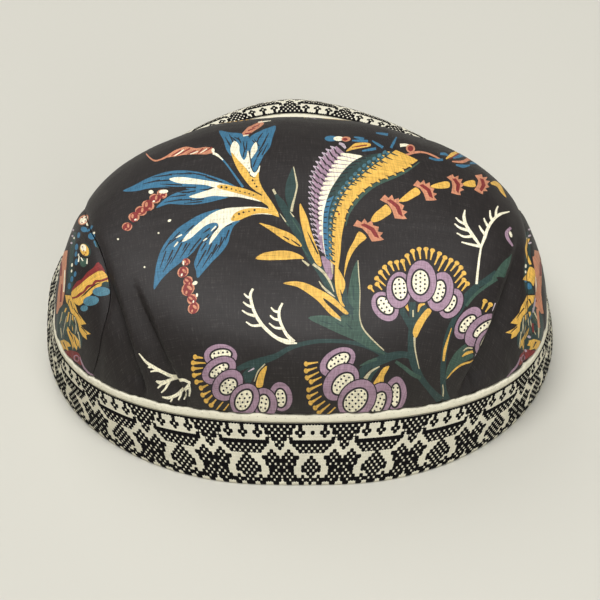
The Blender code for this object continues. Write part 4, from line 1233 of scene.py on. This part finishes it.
@dataclass
class Crown:
    """The printed crown: a centre panel and two side panels, each a closed sheet of cotton."""

    form: Form
    artwork: Print
    view: PhotoView
    thickness: float = 1.0
    mesh_step: float = 0.015
    fine_from: float = 0.6
    seam_gap: float = 0.36
    seam_fall: float = 0.55
    seam_width: float = 1.6
    edge_fade: float = 0.05
    pucker: float = 0.45
    gather_reach: float = 0.14
    dents: float = 0.30
    wrinkles: float = 0.10
    nape_length: float = 95.0
    front_length: float = 130.0
    front_shift: tuple[float, float] = (8.0, 33.0)
    spray_reach: tuple[float, float] = (-0.6, 0.74)
    spray_from: float = -0.24
    front_from: float = 0.36
    front_reach: float = 0.93
    flank_from: float = -0.66

    def surface(self, u: Array, v: Array) -> Array:
        """Outer face: the smooth crown, less its tucks, the sunk side seams and fine puckers."""
        form = self.form
        reach = np.hypot(u, v)
        fade = np.clip((1.0 - reach) / self.edge_fade, 0.0, 1.0)
        fall = sum(t.fall(u, v, form.disc_scale) for t in TUCKS) * fade
        for points in (LEFT_SEAM, RIGHT_SEAM):
            line = smooth_line(np.array(points), 6)
            far = np.full(u.shape, np.inf)
            for a, b in zip(line[:-1], line[1:]):
                run = b - a
                share = np.clip(((u - a[0]) * run[0] + (v - a[1]) * run[1]) / (run @ run), 0.0, 1.0)
                far = np.minimum(far, np.hypot(u - a[0] - share * run[0], v - a[1] - share * run[1]))
            fall = fall + self.seam_fall * np.exp(-(far * form.disc_scale / self.seam_width) ** 2)
        angle = np.arctan2(v, u)
        gathers = (np.maximum(0.0, ripple(angle * 31.0, 1.3) + 0.15)
                   * np.exp(-((1.0 - reach) / self.gather_reach) ** 2))
        fall = fall + self.pucker * gathers * (1.0 + 0.5 * np.clip(v, 0.0, 1.0))
        fall = fall + self.dents * ripple(u * 17.0 + 3.0 * v, 0.4) * ripple(v * 13.0 - 4.0 * u, 2.2)
        fall = fall + self.wrinkles * ripple(v * 38.0 + 4.0 * ripple(u * 5.0, 0.2), 1.1) * (1.0 - reach ** 2)
        return form.crown(u, v) - form.crown_normal(u, v) * fall[..., None]

    def normal(self, u: Array, v: Array) -> Array:
        """Outward direction of the outer face."""
        step = 0.003
        across = self.surface(u + step, v) - self.surface(u - step, v)
        along = self.surface(u, v + step) - self.surface(u, v - step)
        return unit(np.cross(across, along))

    def disc_arc(self, start: Array, end: Array, count: int) -> Array:
        """Points just inside the disc's edge, turning from one point's angle to the other's."""
        first, last = np.arctan2(start[1], start[0]), np.arctan2(end[1], end[0])
        last += 2.0 * np.pi if last < first else 0.0
        angle = np.linspace(first, last, count)
        edge = 1.0 - self.seam_gap / self.form.disc_scale
        return edge * np.stack([np.cos(angle), np.sin(angle)], axis=-1)

    def seam_side(self, points: tuple[tuple[float, float], ...], side: float) -> Array:
        """A side seam on the disc, moved square to itself by half the gap."""
        line = smooth_line(np.array(points), 14)
        step = np.gradient(line, axis=0)
        square = unit(np.stack([-step[:, 1], step[:, 0]], axis=-1))
        line = line + side * 0.5 * self.seam_gap / self.form.disc_scale * square
        edge = 1.0 - self.seam_gap / self.form.disc_scale
        return line * np.minimum(1.0, edge / np.linalg.norm(line, axis=1, keepdims=True))

    def outlines(self) -> dict[str, Array]:
        """Outline of each panel on the disc, counter-clockwise."""
        left = self.seam_side(LEFT_SEAM, 1.0)[::-1]
        right = self.seam_side(RIGHT_SEAM, -1.0)[::-1]
        nape = self.disc_arc(left[0], right[0], 120)
        front = self.disc_arc(right[-1], left[-1], 120)
        centre = np.vstack([nape, right[1:], front[1:], left[-2:0:-1]])
        left_in = self.seam_side(LEFT_SEAM, -1.0)[1:-1]
        right_in = self.seam_side(RIGHT_SEAM, 1.0)[1:-1][::-1]
        left_out = self.disc_arc(left_in[0], left_in[-1], 60)
        right_out = self.disc_arc(right_in[0], right_in[-1], 60)
        return {
            "crown_panel": centre,
            "left_side_panel": np.vstack([left_out, left_in[-2:0:-1]]),
            "right_side_panel": np.vstack([right_out, right_in[-2:0:-1]]),
        }

    def net(self, outline: Array, patches: list[Array]) -> tuple[Array, Array]:
        """Triangulate a panel so that every printed edge is an edge of the net, with a finer grid
        over the deep tucks.

        Args:
            outline: The panel's outline on the disc.
            patches: Printed outlines on the disc.

        Returns:
            Vertices, and triangles turned counter-clockwise.
        """
        low, high = outline.min(axis=0), outline.max(axis=0)
        x, y = np.meshgrid(np.arange(low[0], high[0], self.mesh_step),
                           np.arange(low[1], high[1], self.mesh_step * 0.866))
        x[1::2] += self.mesh_step / 2.0
        grid = np.stack([x.ravel(), y.ravel()], axis=-1)
        half_x, half_y = np.meshgrid(np.arange(low[0], high[0], self.mesh_step * 0.5),
                                     np.arange(low[1], high[1], self.mesh_step * 0.5))
        fine = np.stack([half_x.ravel(), half_y.ravel()], axis=-1)
        drawn = sum(tuck.fall(fine[:, 0], fine[:, 1], self.form.disc_scale) for tuck in TUCKS[:3])
        grid = np.vstack([grid, fine[drawn > self.fine_from]])
        grid = grid[inside(grid, outline * (1.0 - 0.4 * self.mesh_step))]
        loops = [outline] + [p for p in patches if inside(p, outline).any()]
        starts = np.cumsum([0] + [len(p) for p in loops])
        edges = [(s + i, s + (i + 1) % len(p)) for s, p in zip(starts, loops) for i in range(len(p))]
        points = np.vstack(loops + [grid])
        made = delaunay_2d_cdt([Vector(p) for p in points.tolist()], edges, [], 0, 1e-5)
        verts = np.array([tuple(p) for p in made[0]])
        tris = np.array([f for f in made[2] if len(f) == 3])
        a, b, c = verts[tris[:, 0]], verts[tris[:, 1]], verts[tris[:, 2]]
        area = (b[:, 0] - a[:, 0]) * (c[:, 1] - a[:, 1]) - (b[:, 1] - a[:, 1]) * (c[:, 0] - a[:, 0])
        tris[area < 0] = tris[area < 0][:, ::-1]
        keep = inside((a + b + c) / 3.0, outline) & (np.abs(area) > 1e-12)
        tris = tris[keep]
        used_ids, tris = np.unique(tris, return_inverse=True)
        return verts[used_ids], tris.reshape(-1, 3)

    def laid_flat(self, disc: Array, back: bool = False) -> Array:
        """Lengthen the disc to the cloth's own proportions in millimetres, or back again."""
        across = self.form.disc_scale
        along = np.where(disc[:, 1] < 0.0, self.nape_length, self.front_length)
        size = np.stack([np.full(len(disc), across), along], axis=-1)
        return disc / size if back else disc * size

    def repeats(self, loops: list[Array], inks: list[Ink]) -> tuple[list[Array], list[Ink]]:
        """The print's next repeats: the nape's sprays turned half round onto the front, and the
        left panel's sprays mirrored onto the right panel.

        Args:
            loops: Printed outlines on the disc.
            inks: Their inks.

        Returns:
            The repeated outlines and their inks.
        """
        made, made_inks = [], []
        for loop, ink in zip(loops, inks):
            u, v = loop[:, 0], loop[:, 1]
            if v.max() < self.spray_from and u.min() > self.spray_reach[0] and u.max() < self.spray_reach[1]:
                turned = self.laid_flat(self.front_shift - self.laid_flat(loop), back=True)
                if np.linalg.norm(turned, axis=1).max() < self.front_reach and turned[:, 1].min() > self.front_from:
                    made.append(turned[::-1])
                    made_inks.append(ink)
            if u.max() < self.flank_from and u.mean() < self.flank_from - 0.08:
                made.append((loop * (-1.0, 1.0))[::-1])
                made_inks.append(ink)
        return made, made_inks

    def build_panel(self, name: str, outline: Array, loops: list[Array], inks: list[Ink],
                    material: bpy.types.Material) -> bpy.types.Object:
        """Build one panel as a closed sheet with its print."""
        verts, tris = self.net(outline, loops)
        middle = verts[tris].mean(axis=1)
        colour = np.tile(np.array(Ink.GROUND.value), (len(tris), 1))
        for loop, ink in zip(loops, inks):
            colour[inside(middle, loop)] = ink.value
        u, v = verts[:, 0], verts[:, 1]
        outer, out = self.surface(u, v), self.normal(u, v)
        inner = outer - self.thickness * out
        directed = np.concatenate([tris[:, [0, 1]], tris[:, [1, 2]], tris[:, [2, 0]]])
        _, first, counts = np.unique(np.sort(directed, axis=1), axis=0, return_index=True, return_counts=True)
        edge = directed[first[counts == 1]]
        n = len(verts)
        rim = np.concatenate([np.stack([edge[:, 1], edge[:, 0], edge[:, 0] + n], axis=-1),
                              np.stack([edge[:, 1], edge[:, 0] + n, edge[:, 1] + n], axis=-1)])
        faces = np.concatenate([tris, tris[:, ::-1] + n, rim])
        ground = np.array(Ink.GROUND.value)
        reverse = ground + 0.35 * (colour - ground)
        colours = np.concatenate([colour, reverse, np.tile(ground, (len(rim), 1))])
        piece = add_mesh(name + "_cloth", np.concatenate([outer, inner]), faces.tolist(), material)
        paint(piece.data, colours, np.full(len(faces), 3))
        cloth = verts * self.form.disc_scale
        lay_uv(piece.data, np.concatenate([cloth, cloth]))
        piece.data.normals_split_custom_set_from_vertices(np.concatenate([out, -out]).tolist())
        area = float(np.linalg.norm(np.cross(outer[tris[:, 1]] - outer[tris[:, 0]],
                                             outer[tris[:, 2]] - outer[tris[:, 0]]), axis=1).sum() / 2.0)
        LOG.info("%s: %d triangles, %.0f square mm of cloth", name, len(faces), area)
        return piece

    def build(self) -> dict[str, bpy.types.Object]:
        """Build the three panels and dress them in printed cotton."""
        material = CottonFinish().make()
        sizes = [len(p.outline) for p in self.artwork.patches]
        disc = self.view.to_disc(np.vstack([p.outline for p in self.artwork.patches]))
        loops = np.split(disc, np.cumsum(sizes)[:-1])
        inks = [p.ink for p in self.artwork.patches]
        again, again_inks = self.repeats(loops, inks)
        loops, inks = again + loops, again_inks + inks
        pieces = {}
        for name, outline in self.outlines().items():
            piece = self.build_panel(name, outline, loops, inks, material)
            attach(piece, "root")
            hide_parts(name)
            pieces[name] = piece
        return pieces


class Yarn(Enum):
    """What a cell of the woven chart shows: cream, black, or black with a cream fleck."""

    CREAM = "."
    BLACK = "#"
    FLECK = "o"


# Half a repeat of the band, from the diamond's middle column to the star's, row by row from the binding down to the
# rim. The thin all-black top row is partly the band's own dark edge row and partly painted shade, the shadow under
# the binding's lower edge.
BAND_CHART = (
    "#############",
    "#....#.#o#o#o",
    "#....#..#o#o#",
    "o#..#o#.##o#o",
    "#....#...o#o#",
    "........#.##o",
    "#########..o#",
    "o#o#o#o#...#o",
    "#o#o#o#.....#",
    "o#o#o#...#...",
    "#.......#o#..",
    "o#....##.#o#.",
    "#o#....##o###",
    "o#o#...#o#o#o",
    "#o#o#...###o#",
    "o#o##...##o##",
    "#o#.....#o#o#",
    "o#..#..#o#o#o",
    "#o##o####o##.",
    "##..##...##..",
)


@dataclass
class EdgeBand:
    """The woven band: every stitch is a small raised cell, black or cream."""

    form: Form
    repeats: int = 25
    lost_columns: int = 2
    join_offset: float = 4.3
    stitch_rise: float = 0.20
    stitch_inset: float = 0.18
    fleck_inset: float = 0.19
    sway: float = 0.07
    thickness: float = 2.0
    foot: float = 0.022
    top_gap: float = 0.006
    black: tuple[float, float, float] = (0.0065, 0.0058, 0.0062)
    cream: tuple[float, float, float] = (0.82, 0.78, 0.62)

    def chart(self) -> Array:
        """The whole band's cells, rows from the rim up and columns from the join round."""
        half = np.array([list(row) for row in BAND_CHART])
        repeat = np.concatenate([half, half[:, -2:0:-1]], axis=1)
        whole = np.tile(repeat, (1, self.repeats))[:, self.lost_columns:]
        return whole[::-1].T

    def column_angles(self, columns: int) -> Array:
        """Angles of the column edges, at equal steps along the middle of the band."""
        fine = np.linspace(-np.pi / 2, 1.5 * np.pi, 7201)
        line = self.form.band(fine, np.full_like(fine, 0.45))
        run = np.concatenate([[0.0], np.cumsum(np.linalg.norm(np.diff(line, axis=0), axis=1))])
        place = self.join_offset + np.arange(columns) / columns * run[-1]
        return np.interp(place % run[-1], run, fine) + 2.0 * np.pi * (place >= run[-1])

    def row_rises(self, rows: int) -> Array:
        """Rises of the row edges: rows grow a little from the binding down to the rim."""
        heights = np.interp(np.arange(rows), (0, 8, 12, rows - 1), (1.02, 1.03, 0.94, 1.0))
        heights[-1] = 0.4
        share = np.concatenate([[0.0], np.cumsum(heights)]) / heights.sum()
        return self.foot + share * (1.0 - self.form.binding_share - self.top_gap - self.foot)

    def build(self) -> bpy.types.Object:
        """Build the band as one closed loop of stitches, hem and lining side."""
        cells = self.chart()
        columns, rows = cells.shape
        angle, rise = np.meshgrid(self.column_angles(columns), self.row_rises(rows), indexing="ij")
        ahead = np.roll(angle, -1, axis=0)
        ahead[-1] += 2.0 * np.pi
        corner = self.form.band(angle, rise)
        count = columns * (rows + 1)
        index = np.arange(count).reshape(columns, rows + 1)
        right = np.roll(index, -1, axis=0)
        inset = np.where(cells == Yarn.FLECK.value, self.fleck_inset, self.stitch_inset)
        sway = self.sway * ripple(angle[:, :-1] * 731.0 + rise[:, :-1] * 517.0, 0.3)
        tops = []
        for along, up in ((0, 0), (1, 0), (1, 1), (0, 1)):
            a = np.where(along, 1.0 - inset, inset) + sway
            b = np.where(up, 1.0 - inset, inset)
            ang = angle[:, :-1] * (1 - a) + ahead[:, :-1] * a
            ris = rise[:, :-1] * (1 - b) + rise[:, 1:] * b
            normal = self.form.band_normal(ang, ris)
            high = self.stitch_rise * (1.0 + 0.25 * ripple(ang * 300.0 + ris * 90.0, 0.7))
            tops.append(self.form.band(ang, ris) + normal * high[..., None])
        top_points = np.stack(tops, axis=2).reshape(-1, 3)
        t = (count + 4 * np.arange(columns * rows).reshape(columns, rows))[..., None] + np.arange(4)
        base = np.stack([index[:, :-1], right[:, :-1], right[:, 1:], index[:, 1:]], axis=-1)
        quads = [t]
        for k in range(4):
            m = (k + 1) % 4
            quads.append(np.stack([base[..., k], base[..., m], t[..., m], t[..., k]], axis=-1))
        faces = np.stack(quads, axis=2).reshape(-1, 4)
        black, cream = np.array(self.black), np.array(self.cream)
        dark = cells != Yarn.CREAM.value
        below, above = np.roll(dark, 1, axis=1), np.roll(dark, -1, axis=1)
        below[:, 0], above[:, -1] = dark[:, 0], True
        beside = (below, np.roll(dark, -1, axis=0), above, np.roll(dark, 1, axis=0))
        sides = [np.where((dark | near)[..., None], black, cream) for near in beside]
        crest = np.where((cells == Yarn.BLACK.value)[..., None], black, cream)
        colours = np.stack([crest] + sides, axis=2).reshape(-1, 3)
        hem, hem_faces, hem_colours = self.hem(angle[:, 0], index, sides[0][:, 0], count + len(top_points))
        points = np.concatenate([corner.reshape(-1, 3), top_points, hem])
        faces = np.concatenate([faces, hem_faces])
        piece = add_mesh("edge_band_weave", points, faces.tolist(), WovenFinish().make())
        paint(piece.data, np.concatenate([colours, hem_colours]), np.full(len(faces), 4))
        girth = np.arctan2(points[:, 1] - self.form.rim_widest_y, points[:, 0]) * self.form.rim_half_width
        lay_uv(piece.data, np.stack([girth, points[:, 2]], axis=-1))
        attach(piece, "root")
        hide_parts("edge_band")
        LOG.info("edge band: %d columns, %d faces", columns, len(faces))
        return piece

    def hem(self, angle: Array, index: Array, edge_colour: Array, start: int) -> tuple[Array, Array, Array]:
        """The rolled foot, the inner side and the top edge, which close the band.

        Args:
            angle: Angle of each column's edge.
            index: Vertex numbers of the outer grid.
            edge_colour: Colour of the lowest cell of each column.
            start: Number of the first new vertex.

        Returns:
            New points, faces and their colours.
        """
        low, high = self.foot, 1.0 - self.form.binding_share - self.top_gap
        section = [(low * 0.45, 0.05, 0.0), (0.0, 0.55, 0.05), (0.0, self.thickness - 0.6, 0.05),
                   (low * 0.8, self.thickness, 0.0)]
        section += [(low + (high - low) * s, self.thickness, 0.0) for s in (0.15, 0.35, 0.6, 0.8, 1.0)]
        rings = []
        for rise, depth, lift in section:
            k = np.full_like(angle, rise)
            point = self.form.band(angle, k) - depth * self.form.band_normal(angle, k)
            point[:, 2] = np.maximum(point[:, 2], lift)
            rings.append(point)
        points = np.stack(rings, axis=1)
        columns, count = points.shape[:2]
        ids = start + np.arange(columns * count).reshape(columns, count)
        chain = np.concatenate([index[:, :1], ids, index[:, -1:]], axis=1)
        after = np.roll(chain, -1, axis=0)
        faces = np.stack([chain[:, :-1], chain[:, 1:], after[:, 1:], after[:, :-1]], axis=-1)
        colours = np.tile(np.array(self.cream) * 0.55, (columns, count + 1, 1))
        colours[:, :2] = edge_colour[:, None]
        return points.reshape(-1, 3), faces.reshape(-1, 4), colours.reshape(-1, 3)


@dataclass
class SeamBinding:
    """The cream tape between crown and band, a soft flat tube with a wavy upper edge."""

    form: Form
    columns: int = 900
    girth_step: float = 0.6
    width: float = 3.5
    section: tuple[tuple[float, float], ...] = (
        (0.0, 0.9), (0.02, 0.2), (0.14, -0.18), (0.4, -0.28), (0.65, -0.28), (0.86, -0.2),
        (0.97, 0.1), (1.0, 0.6), (0.98, 1.6), (0.5, 1.9), (0.02, 1.7))

    def build(self) -> bpy.types.Object:
        """Build the tape: a rounded section of share and depth, carried round the seam."""
        angle = np.linspace(0.0, 2.0 * np.pi, self.columns, endpoint=False)
        share = self.form.binding_share
        wave = 0.016 * ripple(angle * 26.0, 0.9) + 0.013 * ripple(angle * 71.0, 2.0)
        rings = []
        for across, depth in self.section:
            rise = 1.0 - share * (1.0 - across) + wave * across
            bend = 0.20 * ripple(angle * 47.0, 3.0) * across + 0.10 * ripple(angle * 120.0, 1.0)
            out = self.form.band_normal(angle, np.minimum(rise, 1.0))
            rings.append(self.form.band(angle, rise) - (depth + bend)[:, None] * out)
        points = np.stack(rings, axis=1)
        columns, count = points.shape[:2]
        ids = np.arange(columns * count).reshape(columns, count)
        after, up = np.roll(ids, -1, axis=0), np.roll(ids, -1, axis=1)
        faces = np.stack([ids, after, np.roll(after, -1, axis=1), up], axis=-1).reshape(-1, 4)
        piece = add_mesh("seam_binding_tape", points.reshape(-1, 3), faces.tolist(), TwillFinish().make())
        girth = np.arange(columns) * self.girth_step
        height = np.array(self.section)[:, 0] * self.width
        lay_uv(piece.data, np.stack(np.meshgrid(girth, height, indexing="ij"), axis=-1).reshape(-1, 2))
        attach(piece, "root")
        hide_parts("seam_binding")
        LOG.info("seam binding: %d faces", len(faces))
        return piece


@dataclass(frozen=True)
class SoftBox:
    """A square soft light: its place, side length and power."""

    name: str
    place: tuple[float, float, float]
    size: float
    power: float


@dataclass
class Studio:
    """A plain pale floor, soft light and the camera."""

    view: PhotoView
    floor_colour: tuple[float, float, float] = (0.60, 0.585, 0.52)
    sky_colour: tuple[float, float, float] = (1.0, 0.985, 0.96)
    sky_strength: float = 0.15
    aim: tuple[float, float, float] = (0.0, 0.0, 0.03)
    boxes: tuple[SoftBox, ...] = (
        SoftBox("key", (-0.1, -0.2, 1.55), 0.9, 21.0),
        SoftBox("fill", (0.55, -1.5, 0.85), 1.2, 9.5),
        SoftBox("top", (-0.5, 0.9, 1.4), 1.0, 7.5),
    )

    def floor(self) -> None:
        """Lay the floor."""
        mesh = bpy.data.meshes.new("floor")
        mesh.from_pydata([(-4, -4, 0), (4, -4, 0), (4, 4, 0), (-4, 4, 0)], [], [(0, 1, 2, 3)])
        n = Nodes("floor_paint")
        n.shader.inputs["Base Color"].default_value = (*self.floor_colour, 1.0)
        n.shader.inputs["Roughness"].default_value = 0.95
        n.shader.inputs["Specular IOR Level"].default_value = 0.1
        mesh.materials.append(n.material)
        floor = bpy.data.objects.new("floor", mesh)
        bpy.context.scene.collection.objects.link(floor)

    def hang(self, box: SoftBox) -> None:
        """Hang a soft box that faces the bonnet."""
        light = bpy.data.lights.new(box.name, "AREA")
        light.size = box.size
        light.energy = box.power
        lamp = bpy.data.objects.new(box.name, light)
        lamp.location = box.place
        lamp.rotation_euler = (Vector(self.aim) - Vector(box.place)).to_track_quat("-Z", "Y").to_euler()
        bpy.context.scene.collection.objects.link(lamp)

    def light(self) -> None:
        """Set soft light from above, stronger from the side of the nape, with plain colours."""
        bpy.context.scene.view_settings.view_transform = "Standard"
        world = bpy.data.worlds.new("studio")
        world.use_nodes = True
        sky = world.node_tree.nodes["Background"]
        sky.inputs[0].default_value = (*self.sky_colour, 1.0)
        sky.inputs[1].default_value = self.sky_strength
        bpy.context.scene.world = world
        for box in self.boxes:
            self.hang(box)

    def camera(self) -> None:
        """Place the camera at the picture's viewing angle."""
        right, up, back = self.view.axes()
        data = bpy.data.cameras.new("camera")
        data.sensor_width = 36.0
        data.lens = self.view.focal_pixels / FRAME_PIXELS * data.sensor_width
        data.clip_start, data.clip_end = 0.05, 20.0
        camera = bpy.data.objects.new("camera", data)
        turn = Matrix((right, up, back)).transposed()
        camera.matrix_world = Matrix.Translation(Vector(self.view.eye()) * MM) @ turn.to_4x4()
        bpy.context.scene.collection.objects.link(camera)
        bpy.context.scene.camera = camera

    def build(self) -> None:
        """Build the whole studio."""
        self.floor()
        self.light()
        self.camera()


def main() -> None:
    """Build the bonnet piece by piece, then the studio."""
    logging.basicConfig(level=logging.INFO, format="%(message)s")
    form = Form.from_frame()
    view = PhotoView(form)
    artwork = Branches().draw()
    crown = Crown(form, artwork, view).build()
    band = EdgeBand(form).build()
    binding = SeamBinding(form).build()
    Studio(view).build()


if __name__ == "__main__":
    main()
